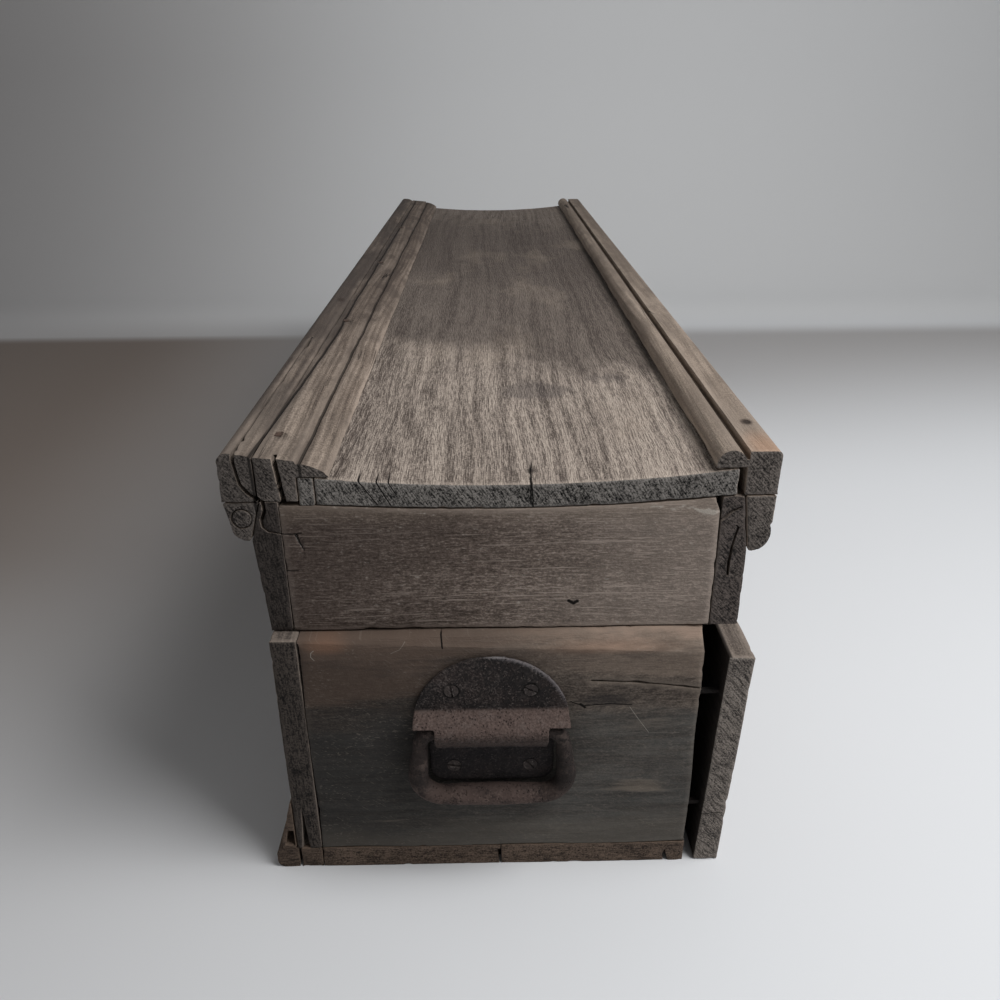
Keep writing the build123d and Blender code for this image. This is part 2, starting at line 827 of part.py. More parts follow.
def barrel_section():
    """The front plate's section, out from the board and up: flat, crease, barrel, then the tongue."""
    centre = (bail_axis_proud, bail_axis_height)
    crease = (plate_thickness, plate_crease)
    away = hypot(crease[0] - centre[0], crease[1] - centre[1])
    start = degrees(atan2(crease[1] - centre[1], crease[0] - centre[0]))
    start -= degrees(atan2(sqrt(away ** 2 - barrel_outer ** 2), barrel_outer))

    def on_circle(radius, angle):
        return (centre[0] + radius * cos(radians(angle)), centre[1] + radius * sin(radians(angle)))

    middle = (start + barrel_turn_end) / 2
    end = radians(barrel_turn_end)
    step = (sin(end) * tongue_reach, -cos(end) * tongue_reach)
    outer_end = on_circle(barrel_outer, barrel_turn_end)
    inner_end = on_circle(barrel_inner, barrel_turn_end)
    outer_tip = (outer_end[0] + step[0], outer_end[1] + step[1])
    inner_tip = (inner_end[0] + step[0], inner_end[1] + step[1])
    slope = (on_circle(barrel_outer, start)[0] - crease[0], on_circle(barrel_outer, start)[1] - crease[1])
    inner_start = on_circle(barrel_inner, start)
    share = inner_start[0] / slope[0]
    inner_crease = (0.0, inner_start[1] - share * slope[1])
    rim = plate_top + cut_margin
    return [
        Line((0, rim), (plate_thickness, rim)),
        Line((plate_thickness, rim), crease),
        Line(crease, on_circle(barrel_outer, start)),
        ThreePointArc(on_circle(barrel_outer, start), on_circle(barrel_outer, middle), outer_end),
        Line(outer_end, outer_tip),
        Line(outer_tip, inner_tip),
        Line(inner_tip, inner_end),
        ThreePointArc(inner_end, on_circle(barrel_inner, middle), inner_start),
        Line(inner_start, inner_crease),
        Line(inner_crease, (0, rim)),
    ]


def handle_front_plate(end):
    """The round-topped plate, rolled below its crease into the barrel that holds the bail."""
    half = plate_width / 2
    side_plane = Plane(origin=(-half, 0, 0), x_dir=(0, 1, 0), z_dir=(1, 0, 0))
    sheet = extrude(side_plane * make_face(Curve() + barrel_section()), amount=plate_width)
    top_centre = plate_top - half
    reach = 4 * barrel_outer
    dome = Pos(0, 0, top_centre) * Rot(90, 0, 0) * Cylinder(half, reach)
    lower = block(-half, half, -reach / 2, reach / 2, 0, top_centre)
    sheet &= dome + lower
    notch_top = bail_axis_height + bail_bar_radius + bail_stop_clearance
    for side in (-1, 1):
        x0, x1 = sorted((side * tongue_width / 2, side * (half + cut_margin)))
        sheet -= block(x0, x1, 0, reach, 0, notch_top)
    sheet = handle_location(end) * sheet
    return cut_all(sheet, [place * flat_screw_hole() for place in handle_screw_places(end)])


def bail(end):
    """A bent iron rod: thin in the barrel, thickening down its arms to the grip."""
    plane = Plane(origin=(0, bail_axis_proud, 0), x_dir=(1, 0, 0), z_dir=(0, -1, 0))
    points = [
        (bail_end_gap / 2, bail_axis_height), (bail_arm_x, bail_axis_height),
        (bail_arm_x + bail_splay, bail_grip_height), (0, bail_grip_height),
    ]
    route = FilletPolyline(*points, radius=[bail_bend_radius, bail_corner_radius])
    route = plane * route
    edges = order_along(route.edges(), plane.from_local_coords((bail_end_gap / 2, bail_axis_height, 0)))
    radii = [bail_bar_radius] * 3 + [bail_grip_radius] * 2
    half = None
    for index, edge in enumerate(edges[:4]):
        piece = rod_piece(edge, radii[index], radii[index + 1])
        half = piece if half is None else half + piece
    half += grip_half(edges[4])
    whole = half + mirror(half, about=Plane.YZ)
    return handle_location(end) * whole


def order_along(edges, start):
    """The edges of a chain in order from its start, each turned to run forwards."""
    left = list(edges)
    here = Vector(*start)
    ordered = []
    while left:
        edge = min(left, key=lambda e: min((e @ 0 - here).length, (e @ 1 - here).length))
        left.remove(edge)
        forwards = (edge @ 0 - here).length <= (edge @ 1 - here).length
        ordered.append((edge, forwards))
        here = edge @ 1 if forwards else edge @ 0
    return ordered


def rod_piece(step, r0, r1):
    """A stretch of round rod along a line or an arc."""
    edge, forwards = step
    if not forwards:
        r0, r1 = r1, r0
    start = Plane(origin=edge @ 0, z_dir=edge % 0) * Circle(r0)
    if edge.geom_type == GeomType.LINE and r0 != r1:
        return loft([start, Plane(origin=edge @ 1, z_dir=edge % 1) * Circle(r1)], ruled=True)
    if edge.geom_type == GeomType.LINE:
        return extrude(start, amount=edge.length)
    return sweep(start, path=edge)


def grip_half(step):
    """Half of the grip, which swells a little towards its middle."""
    edge, forwards = step
    start = edge @ 0 if forwards else edge @ 1
    length = start.X
    swell = bail_grip_radius + bail_grip_swell
    profile = make_face(Curve() + [
        Line((0, 0), (length, 0)),
        Line((length, 0), (length, bail_grip_radius)),
        ThreePointArc((length, bail_grip_radius), (0, swell), (-length, bail_grip_radius)),
        Line((-length, bail_grip_radius), (-length, 0)),
        Line((-length, 0), (0, 0)),
    ])
    whole = Pos(0, bail_axis_proud, bail_grip_height) * revolve(profile, axis=Axis.X)
    return whole & block(0, length, 0, 3 * bail_axis_proud, 0, 2 * bail_grip_height)


# Box hook on the front

hook_x0 = lid_outer + hook_air
hook_x1 = hook_x0 + hook_thickness
catch_y = hook_y + hook_length * sin(radians(hook_catch_angle))
catch_z = hook_pivot_z - hook_length * cos(radians(hook_catch_angle))


def hook():
    """A flat hook that hangs from its screw and swings onto the catch along an arc-shaped throat."""
    plane = Plane(origin=(hook_x0, hook_y, hook_pivot_z), x_dir=(0, 1, 0), z_dir=(1, 0, 0))
    bar = Pos(0, -hook_length / 2) * Rectangle(hook_bar_width, hook_length)
    outline = bar + Circle(hook_eye_radius) + Pos(0, -hook_length) * Circle(hook_end_radius)
    throat = hook_neck_radius + hook_slot_clearance
    band = Circle(hook_length + throat) - Circle(hook_length - throat)
    far = 2 * hook_length
    sweep_end = (far * sin(radians(hook_slot_sweep)), -far * cos(radians(hook_slot_sweep)))
    sector = make_face(closed_lines([(0, 0), (0, -far), sweep_end]))
    slot = (band & sector) + Pos(0, -hook_length) * Circle(throat)
    outline -= slot
    plate = extrude(plane * outline, amount=hook_thickness)
    eye = Cylinder(screw_shank_radius + pin_clearance, 4 * hook_thickness)
    return plate - facing(hook_x0, hook_y, hook_pivot_z, (1, 0, 0)) * eye


def round_screw(neck_radius, neck_length, buried):
    """A round-headed screw along -X from its head, whose underside is at the origin."""
    ball_radius = (round_head_radius ** 2 + round_head_height ** 2) / (2 * round_head_height)
    ball = Pos(0, 0, round_head_height - ball_radius) * Sphere(ball_radius)
    across = 3 * round_head_radius
    head = ball & Pos(0, 0, round_head_height / 2) * Box(across, across, round_head_height)
    slot = Pos(0, 0, round_head_height) * Box(across, slot_width, 2 * slot_depth)
    length = neck_length + buried
    return head - slot + Pos(0, 0, -length / 2) * Cylinder(neck_radius, length)


def hook_screw():
    gap = hook_x1 + hook_slot_clearance - lid_outer
    place = facing(hook_x1 + hook_slot_clearance, hook_y, hook_pivot_z, (1, 0, 0))
    return place * round_screw(screw_shank_radius, gap, screw_length)


def hook_screw_hole():
    hole = Cylinder(screw_shank_radius + screw_clearance, 2 * (screw_length + screw_clearance))
    return facing(lid_outer, hook_y, hook_pivot_z, (1, 0, 0)) * hole


def hook_catch():
    face = side_face_x(1, catch_y, catch_z)
    place = facing(hook_x1 + hook_slot_clearance, catch_y, catch_z, (1, 0, 0))
    return place * round_screw(hook_neck_radius, hook_x1 + hook_slot_clearance - face, screw_length)


def catch_hole():
    face = side_face_x(1, catch_y, catch_z)
    hole = Cylinder(hook_neck_radius + screw_clearance, 2 * (screw_length + screw_clearance))
    return facing(face, catch_y, catch_z, (1, 0, 0)) * hole


def all_parts():
    """Every node's name with its solid or group of solids."""
    base_turn, lid_turn = hinge_screw_turns
    parts = {
        "base_end_near": base_end(-1),
        "base_end_far": base_end(1),
        "base_side_left": base_side_left(),
        "base_side_right": base_side_right(),
        "bottom_board_left": bottom_board(-1),
        "bottom_board_right": bottom_board(1),
        "sill_left": sill_left(),
        "plinth_left": plinth_left(),
        "base_corner_nails": joined(nails(base_nail_places(-1) + base_nail_places(1))),
        "sprung_corner_nails": joined(nails(sprung_nail_places(), head=False)),
        "bottom_nails": joined(nails(bottom_nail_places() + sill_nail_places())),
        "lid_end_near": lid_end(-1),
        "lid_end_far": lid_end(1),
        "lid_side_left": lid_side_left(),
        "lid_side_right": lid_side_right(),
        "lid_panel": lid_panel(),
        "panel_filler": panel_filler(),
        "rail_left_outer": rail_left_outer(),
        "rail_left_inner": rail_left_inner(),
        "rail_right": rail_right(),
        "cornice_left": cornice_left(),
        "cornice_right": cornice_right(),
        "lid_corner_nails": joined(nails(lid_nail_places(-1) + lid_nail_places(1))),
        "rail_nails": joined(nails(rail_nail_places(-1) + rail_nail_places(1))),
        "panel_nails": joined(nails(panel_nail_places())),
        "hinge_screws_base": joined([place * flat_screw(base_turn) for place in hinge_screw_places(-1)]),
        "hinge_screws_lid": joined([place * flat_screw(lid_turn) for place in hinge_screw_places(1)]),
        "hook": hook(),
        "hook_screw": hook_screw(),
        "hook_catch": hook_catch(),
    }
    for end, name in ((-1, "near"), (1, "far")):
        y = hinge_places()[0 if end == -1 else 1]
        parts[f"hinge_leaf_base_{name}"] = hinge_leaf(y, -1)
        parts[f"hinge_leaf_lid_{name}"] = hinge_leaf(y, 1)
        parts[f"hinge_pin_{name}"] = hinge_pin(y)
        parts[f"handle_back_plate_{name}"] = handle_back_plate(end)
        parts[f"handle_front_plate_{name}"] = handle_front_plate(end)
        parts[f"handle_screws_{name}"] = handle_screws(end)
        parts[f"bail_{name}"] = bail(end)
    return parts


os.makedirs("parts", exist_ok=True)
for part_name, part_shape in all_parts().items():
    export_step(part_shape, f"parts/{part_name}.step")
    print(part_name, len(part_shape.solids()), "solids")
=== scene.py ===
# Looks of an old wooden tool chest: weathered boards, moulded rails and a rusted iron handle.
import json
import math
import bmesh
import bpy
import numpy as np
from mathutils import Matrix, Vector, noise

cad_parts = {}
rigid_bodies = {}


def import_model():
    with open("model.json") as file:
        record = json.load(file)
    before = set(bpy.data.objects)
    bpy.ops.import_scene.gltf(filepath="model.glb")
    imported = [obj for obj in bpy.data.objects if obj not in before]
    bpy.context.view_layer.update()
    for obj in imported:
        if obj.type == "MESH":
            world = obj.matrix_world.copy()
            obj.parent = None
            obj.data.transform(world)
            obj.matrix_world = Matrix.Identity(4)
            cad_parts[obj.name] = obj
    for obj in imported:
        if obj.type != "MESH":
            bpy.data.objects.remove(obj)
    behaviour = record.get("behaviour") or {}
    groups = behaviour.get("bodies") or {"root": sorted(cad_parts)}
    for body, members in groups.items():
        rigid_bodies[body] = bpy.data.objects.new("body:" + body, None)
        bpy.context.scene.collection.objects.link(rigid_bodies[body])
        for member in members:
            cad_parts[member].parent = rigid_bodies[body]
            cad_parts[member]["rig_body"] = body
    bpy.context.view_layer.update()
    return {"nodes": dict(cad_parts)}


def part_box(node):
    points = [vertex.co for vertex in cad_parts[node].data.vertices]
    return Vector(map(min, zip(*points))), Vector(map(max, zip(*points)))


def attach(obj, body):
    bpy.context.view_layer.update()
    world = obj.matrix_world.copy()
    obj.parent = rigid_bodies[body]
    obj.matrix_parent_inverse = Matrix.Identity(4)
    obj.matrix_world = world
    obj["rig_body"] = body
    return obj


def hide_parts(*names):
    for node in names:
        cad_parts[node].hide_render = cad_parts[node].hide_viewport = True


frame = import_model()
mm = 0.001
print("frame loaded")


# Shader maths

def tone(red, green, blue):
    # a colour as it looks on screen, from 0 to 255, turned into what the shader needs
    parts = [c / 255 for c in (red, green, blue)]
    return tuple(c / 12.92 if c < 0.04045 else ((c + 0.055) / 1.055) ** 2.4 for c in parts) + (1.0,)


class Mask:
    # one output of a node, so that masks add up with plain signs
    def __init__(self, finish, socket):
        self.finish = finish
        self.socket = socket

    def __add__(self, other):
        return self.finish.maths("ADD", self, other)

    __radd__ = __add__

    def __sub__(self, other):
        return self.finish.maths("SUBTRACT", self, other)

    def __rsub__(self, other):
        return self.finish.maths("SUBTRACT", other, self)

    def __mul__(self, other):
        return self.finish.maths("MULTIPLY", self, other)

    __rmul__ = __mul__

    def __truediv__(self, other):
        return self.finish.maths("DIVIDE", self, other)

    def __rtruediv__(self, other):
        return self.finish.maths("DIVIDE", other, self)


class Finish:
    # a material or a world being built; its node method makes any node
    def __init__(self, owner):
        owner.use_nodes = True
        self.owner = owner
        self.tree = owner.node_tree
        self.tree.nodes.clear()

    def node(self, kind, settings=None, values=None, out=0):
        made = self.tree.nodes.new(kind)
        for key, setting in (settings or {}).items():
            if key == "stops":
                self.fillRamp(made.color_ramp, setting)
            else:
                setattr(made, key, setting)
        for key, value in (values or {}).items():
            if isinstance(value, Mask):
                self.tree.links.new(value.socket, made.inputs[key])
            else:
                made.inputs[key].default_value = value
        return Mask(self, made.outputs[out]) if len(made.outputs) else None

    def fillRamp(self, ramp, stops):
        while len(ramp.elements) < len(stops):
            ramp.elements.new(0.5)
        for element, (position, colour) in zip(ramp.elements, stops):
            element.position = position
            element.color = colour

    def maths(self, operation, a, b=0.0):
        return self.node("ShaderNodeMath", {"operation": operation}, {0: a, 1: b})

    def vector(self, operation, a, b=(0, 0, 0), out=0):
        return self.node("ShaderNodeVectorMath", {"operation": operation}, {0: a, 1: b}, out)

    def length(self, place):
        return self.vector("LENGTH", place, out="Value")

    def dot(self, place, way):
        return self.vector("DOT_PRODUCT", place, way, out="Value")

    def away(self, place, centre):
        return self.vector("SUBTRACT", place, centre)

    def stretched(self, place, scales):
        return self.vector("MULTIPLY", place, scales)

    def place(self):
        return self.node("ShaderNodeTexCoord", out="Object")

    def part(self, place, index):
        return self.node("ShaderNodeSeparateXYZ", None, {0: place}, out=index)

    def joined(self, x, y, z):
        return self.node("ShaderNodeCombineXYZ", None, {0: x, 1: y, 2: z})

    def turned(self, place, degrees):
        # the place seen in the X Z plane, with its first axis turned up by so many degrees
        angle = math.radians(degrees)
        along = self.dot(place, (math.cos(angle), 0, math.sin(angle)))
        across = self.dot(place, (-math.sin(angle), 0, math.cos(angle)))
        return self.joined(along, across, 0.0)

    def seeded(self, place, scales, seed):
        # a stretched place, moved so that each seed gives a pattern of its own
        return self.vector("ADD", self.stretched(place, scales), (seed, 0.37 * seed, 0.71 * seed))

    def cloud(self, place, scales, detail, roughness, seed):
        return self.node("ShaderNodeTexNoise", None, {
            "Vector": self.seeded(place, scales, seed), "Scale": 1.0, "Detail": detail,
            "Roughness": roughness})

    def swing(self, place, scales, detail, roughness, seed):
        # a cloud that goes either side of zero
        return self.cloud(place, scales, detail, roughness, seed) - 0.5

    def cells(self, place, scales, seed):
        return self.node("ShaderNodeTexVoronoi", None,
                         {"Vector": self.seeded(place, scales, seed), "Scale": 1.0})

    def fade(self, value, start, end):
        # 0 at start and 1 at end, smooth between; start may be above end, which turns it round
        return self.node("ShaderNodeMapRange", {"interpolation_type": "SMOOTHSTEP"},
                         {0: value, 1: start, 2: end, 3: 0.0, 4: 1.0})

    def ramp(self, value, stops):
        return self.node("ShaderNodeValToRGB", {"stops": stops}, {0: value})

    def mix(self, share, a, b):
        return self.node("ShaderNodeMix", {"data_type": "RGBA"}, {0: share, 6: a, 7: b}, out=2)

    def attribute(self, name):
        return self.node("ShaderNodeAttribute", {"attribute_name": name}, out="Fac")

    def blob(self, place, centre, reach):
        # 1 at the centre, fading to 0 at reach, both in millimetres
        away = self.away(place, tuple(c * mm for c in centre))
        scaled = self.stretched(away, tuple(1 / (r * mm) for r in reach))
        return self.fade(self.length(scaled), 1.0, 0.15)

    def stroke(self, place, points, width):
        # a line drawn on an end of the chest, through (x, z) points in millimetres
        flat = self.stretched(place, (1, 0, 1))
        nearest = None
        for (x0, z0), (x1, z1) in zip(points, points[1:]):
            start = Vector((x0, 0, z0)) * mm
            along = Vector((x1 - x0, 0, z1 - z0)) * mm
            out = self.away(flat, tuple(start))
            share = self.dot(out, tuple(along / along.length_squared))
            share = self.node("ShaderNodeClamp", None, {0: share})
            foot = self.node("ShaderNodeVectorMath", {"operation": "SCALE"},
                             {0: tuple(along), "Scale": share})
            away = self.length(self.away(out, foot))
            nearest = away if nearest is None else self.maths("MINIMUM", nearest, away)
        return self.fade(nearest, width * mm * 0.75, width * mm * 0.25)

    def spots(self, place, marks):
        # blobs added up, each given as its centre, reach and strength
        total = 0.0
        for centre, reach, strength in marks:
            total = total + self.blob(place, centre, reach) * strength
        return total

    def lines(self, place, marks):
        # strokes added up, each given as its points, width and strength
        total = 0.0
        for points, width, strength in marks:
            total = total + self.stroke(place, points, width) * strength
        return total

    def done(self, colour, rough, height, depth, metal=0.0, specular=0.4):
        bump = self.node("ShaderNodeBump", None, {"Strength": 1.0, "Distance": depth, "Height": height},
                         out="Normal")
        surface = self.node("ShaderNodeBsdfPrincipled", None, {
            "Base Color": colour, "Roughness": rough, "Metallic": metal,
            "Specular IOR Level": specular, "Normal": bump})
        self.node("ShaderNodeOutputMaterial", None, {"Surface": surface})
        return self.owner


# Weathered wood. Its places are in metres, and the grain runs along Y once a board is turned.
# Each finish sets its own tones and seed, and what it leaves out comes from here.

woodDefaults = {
    "grain": "Y",
    "fibre": (620, 16, 620),
    "stain": tone(60, 54, 51),
    "stainShare": 0.45,
    "streakShare": 0.3,
    "hairs": 0.25,
    "dashes": 0.0,
    "ringPitch": 0.0042,
    "ringShare": 0.05,
    "pith": (-0.20, -0.25),
    "endLight": tone(128, 122, 117),
    "endDark": tone(48, 45, 43),
    "slant": -50,
    "endRings": 0.35,
    "checks": 0.5,
    "depth": 0.0005,
    "paint": None,
}


# Noise in the wood: stretch per metre, detail, roughness, and what is added to the board's seed
woodLayers = {
    "bend": ((25, 2, 25), 2.0, 0.55, 0),
    "streak": ((75, 2.4, 75), 5.0, 0.6, 3),
    "speck": ((1000, 650, 1000), 2.0, 0.7, 5),
    "blotch": ((13, 6, 13), 4.0, 0.6, 7),
    "grime": ((80, 46, 80), 4.0, 0.65, 11),
    "hair": ((1000, 22, 1000), 2.0, 0.55, 13),
    "hairPatch": ((50, 16, 110), 2.0, 0.5, 14),
    "check": ((80, 3.2, 80), 2.0, 0.5, 17),
    "checkPatch": ((26, 6, 26), 2.0, 0.5, 19),
    "slit": ((1250, 92, 1250), 1.0, 0.4, 41),
    "fineSlit": ((1900, 170, 1900), 1.0, 0.4, 43),
    "slitPatch": ((34, 15, 34), 2.0, 0.5, 45),
    "ray": ((170, 1150, 1), 3.0, 0.6, 23),
    "patch": ((60, 20, 60), 3.0, 0.6, 27),
    "pit": ((950, 40, 950), 3.0, 0.7, 29),
    "shake": ((28, 190, 1), 2.0, 0.5, 31),
}


def weatheredWood(name, **changes):
    look = {**woodDefaults, **changes}
    seed = look["seed"]
    f = Finish(bpy.data.materials.new(name))

    def layer(kind, where):
        scales, detail, roughness, added = woodLayers[kind]
        return f.cloud(where, scales, detail, roughness, seed + added)

    asBuilt = f.place()
    place = asBuilt
    if look["grain"] == "X":
        place = f.joined(f.part(asBuilt, 1), f.part(asBuilt, 0), f.part(asBuilt, 2))

    # the grain wanders a few millimetres on its way along the board
    drift = f.node("ShaderNodeTexNoise", None,
                   {"Vector": f.vector("ADD", f.stretched(place, (6, 3.0, 6)), (seed, seed, seed)),
                    "Scale": 1.0, "Detail": 2.0}, out="Color")
    wander = f.stretched(f.away(drift, (0.5, 0.5, 0.5)), (0.020, 0.0, 0.020))
    grain = f.vector("ADD", place, wander)

    # year rings round the pith, which lies outside the board
    pithX, pithZ = look["pith"]
    ringReach = f.length(f.stretched(f.away(grain, (pithX, 0, pithZ)), (1, 0, 1)))
    ringPhase = ringReach / look["ringPitch"] + layer("bend", grain) * 3.0
    ring = f.maths("SINE", ringPhase * 6.2832) * 0.5 + 0.5

    fibre = f.cloud(grain, look["fibre"], 3.0, 0.62, seed)
    streak, speck, grime = layer("streak", grain), layer("speck", place), layer("grime", place)
    hair = f.fade(layer("hair", grain), 0.55, 0.66) * f.fade(layer("hairPatch", place), 0.44, 0.58)

    # drying checks: thin dark lines that run with the grain
    checkLine = f.fade(f.maths("ABSOLUTE", layer("check", grain) - 0.5), 0.009, 0.002)
    check = checkLine * f.fade(layer("checkPatch", place), 0.56, 0.66) * look["checks"]

    share = look["streakShare"]
    field = fibre * (0.55 - share) + streak * share + speck * 0.30 + grime * 0.12
    field = field + (ring - 0.5) * look["ringShare"]
    body = f.ramp(f.fade(field, 0.35, 0.65),
                  [(0.0, look["dark"]), (0.5, look["middle"]), (1.0, look["light"])])
    height = fibre * 0.6 + streak * 0.3 + speck * 0.5 - check * 1.4
    if look["dashes"]:
        # open pores between short pale ridges, stronger in patches
        gaps = layer("slit", grain) * 0.65 + layer("fineSlit", grain) * 0.35
        pore = f.fade(gaps, 0.475, 0.375) * (0.5 + layer("slitPatch", place) * 0.6)
        ridge = f.fade(gaps, 0.51, 0.62)
        body = f.mix(ridge * 0.38, body, look["light"])
        body = f.mix(pore * look["dashes"], body, look["dark"])
        height = height * 0.3 + ridge * 0.5 - pore * 0.9
    body = f.mix(hair * look["hairs"], body, look["light"])
    height = height + hair * 0.3
    stained = f.fade(layer("blotch", place) * 0.65 + grime * 0.35, 0.45, 0.64) * look["stainShare"]
    body = f.mix(stained, body, look["stain"])

    # worn edges are paler, then come the marks of this one board
    wear = f.attribute("wear")
    body = f.mix(f.fade(wear + grime * 0.6 - 0.3, 0.3, 0.9) * 0.45, body, look["light"])
    if look["paint"]:
        body, groove = look["paint"](f, asBuilt, body)
        check = f.maths("MAXIMUM", check, groove)
        height = height - groove * 1.6
    body = f.mix(check, body, tone(20, 17, 15))

    # end grain: a dark speckle with fine slanting strokes, faint rings and a few shakes
    strokePlace = f.turned(place, look["slant"])
    ray, pit, patch = layer("ray", strokePlace), layer("pit", place), layer("patch", place)
    shake = f.fade(f.maths("ABSOLUTE", layer("shake", strokePlace) - 0.5), 0.012, 0.003)
    shake = shake * f.fade(patch, 0.52, 0.62)
    ends = f.ramp(f.fade(ray * 0.36 + pit * 0.46 + patch * 0.18, 0.40, 0.60),
                  [(0.0, look["endDark"]), (1.0, look["endLight"])])
    ringLine = f.fade(ring, 0.86, 0.99) * f.fade(patch, 0.40, 0.56) * look["endRings"]
    ends = f.mix(ringLine, ends, tone(26, 23, 22))
    ends = f.mix(f.fade(wear, 0.55, 0.95) * 0.3, ends, look["endLight"])
    ends = f.mix(shake * 0.7, ends, tone(20, 18, 17))
    # painted shade: the end grain is darker at the left corners
    ends = f.mix(f.fade(f.part(asBuilt, 0), -0.10, -0.125) * 0.3, ends, look["endDark"])
    if look["paint"]:
        ends = f.mix(groove, ends, tone(16, 14, 13))

    endGrain = f.attribute("endGrain")
    endHeight = ray * 0.5 + pit * 0.8 - shake * 0.8 - ringLine * 0.4
    height = height + (endHeight - height) * endGrain
    return f.done(f.mix(endGrain, body, ends), 0.74 + fibre * 0.2, height, look["depth"], specular=0.12)


# What is painted on single boards, in the photographed places: spots as (centre, reach, strength)
# and lines as ((x, z) points, width, strength), in millimetres. Each function returns the colour
# and the grooves.

panelMarks = {
    "darkTone": tone(74, 66, 62),
    "paleTone": tone(158, 144, 130),
    "smudgeTone": tone(70, 64, 64),
    "smudges": [((24, -392, 262), (46, 34, 60), 1.0), ((74, -372, 262), (34, 22, 60), 0.8),
                ((-52, -352, 262), (36, 16, 60), 0.5)],
    "nailTone": tone(34, 28, 26),
    "nail": [((16.5, -527, 262), (4.5, 6, 60), 1.0)],
    "cuts": [([(-74.9, 263), (-64.7, 248)], 0.7, 1.0), ([(-64.7, 261), (-57.5, 247)], 0.7, 1.0),
             ([(-58.8, 261), (-54.5, 253.5)], 0.6, 1.0), ([(15.6, 268), (15.7, 249)], 0.8, 1.0)],
}


def paintPanel(f, place, body):
    marks = panelMarks
    x, y = f.part(place, 0), f.part(place, 1)
    cloudy = f.swing(place, (14, 7, 14), 5.0, 0.6, 61.0)
    fine = f.swing(place, (45, 28, 45), 4.0, 0.65, 62.0)
    # the far two thirds are dark, with a ragged edge across the panel
    reach = y + x * 0.4 + cloudy * 0.26 + fine * 0.08
    dark = f.fade(reach, -0.37, -0.28) * (0.66 + f.fade(reach, -0.2, 0.1) * 0.14)
    dark = dark * (1.0 - f.fade(reach, 0.25, 0.56) * 0.35)
    body = f.mix(dark, body, marks["darkTone"])
    smudge = f.fade(f.spots(place, marks["smudges"]) + fine * 1.6 + cloudy * 0.8, 0.30, 0.9)
    body = f.mix(smudge * 0.5, body, marks["smudgeTone"])
    body = f.mix(f.fade(cloudy, -0.02, -0.22) * 0.3, body, marks["paleTone"])
    body = f.mix(f.spots(place, marks["nail"]) * 0.85, body, marks["nailTone"])
    # a short split runs from the nail to the end
    split = f.maths("ABSOLUTE", x - 0.0165 - fine * 0.006)
    split = f.fade(split, 0.0007, 0.0002) * f.fade(y, -0.508, -0.526)
    cut = f.lines(place, marks["cuts"])
    return body, f.maths("MAXIMUM", split, cut * f.fade(y, -0.528, -0.540))


lidEndMarks = {
    "leftTone": tone(58, 48, 44),
    "rightTone": tone(156, 144, 134),
    "topTone": tone(140, 126, 112),
    "chipTone": tone(188, 180, 170),
    "chips": [((110, -545, 241), (9, 30, 3.5), 1.0), ((92, -545, 244), (26, 30, 3), 0.5)],
    "scratchTone": tone(172, 160, 150),
    "scratches": [([(-60, 205.6), (-20, 204), (30, 203)], 0.35, 1.0),
                  ([(-30, 196), (12, 194.5)], 0.35, 1.0),
                  ([(-8, 240.4), (52, 238.2), (96, 237.0)], 0.4, 1.0)],
    "cuts": [([(-118, 231.7), (-112, 231.2), (-106, 231.8)], 0.5, 1.0),
             ([(-116, 209), (-110, 208.9)], 0.5, 1.0),
             ([(37, 187.4), (39.6, 185.8), (41.6, 187.2)], 1.9, 1.0)],
}


def paintLidEnd(f, place, body):
    marks = lidEndMarks
    x, y, z = (f.part(place, axis) for axis in range(3))
    cloudy = f.swing(place, (13, 13, 30), 4.0, 0.6, 71.0)
    fine = f.swing(place, (180, 180, 420), 4.0, 0.6, 73.0)
    # darker to the left and paler to the right, partly the board's own tone and partly painted shade
    # and painted light; paler also along the top
    side = x + cloudy * 0.12
    body = f.mix(f.fade(side, 0.03, -0.12) * 0.62, body, marks["leftTone"])
    body = f.mix(f.fade(side, -0.02, 0.11) * 0.42, body, marks["rightTone"])
    body = f.mix(f.fade(z + cloudy * 0.02, 0.232, 0.247) * 0.25, body, marks["topTone"])
    # painted highlight: a pale glint on the chipped corner at the top right
    chipGlint = f.fade(f.spots(place, marks["chips"]) + fine * 3.0, 0.3, 0.9)
    body = f.mix(chipGlint * 0.65, body, marks["chipTone"])
    near = f.fade(y, -0.535, -0.541)
    scratch = f.lines(place, marks["scratches"]) * f.fade(fine, -0.05, 0.10)
    body = f.mix(scratch * near * 0.55, body, marks["scratchTone"])
    return body, f.maths("MINIMUM", f.lines(place, marks["cuts"]) * near, 1.0)


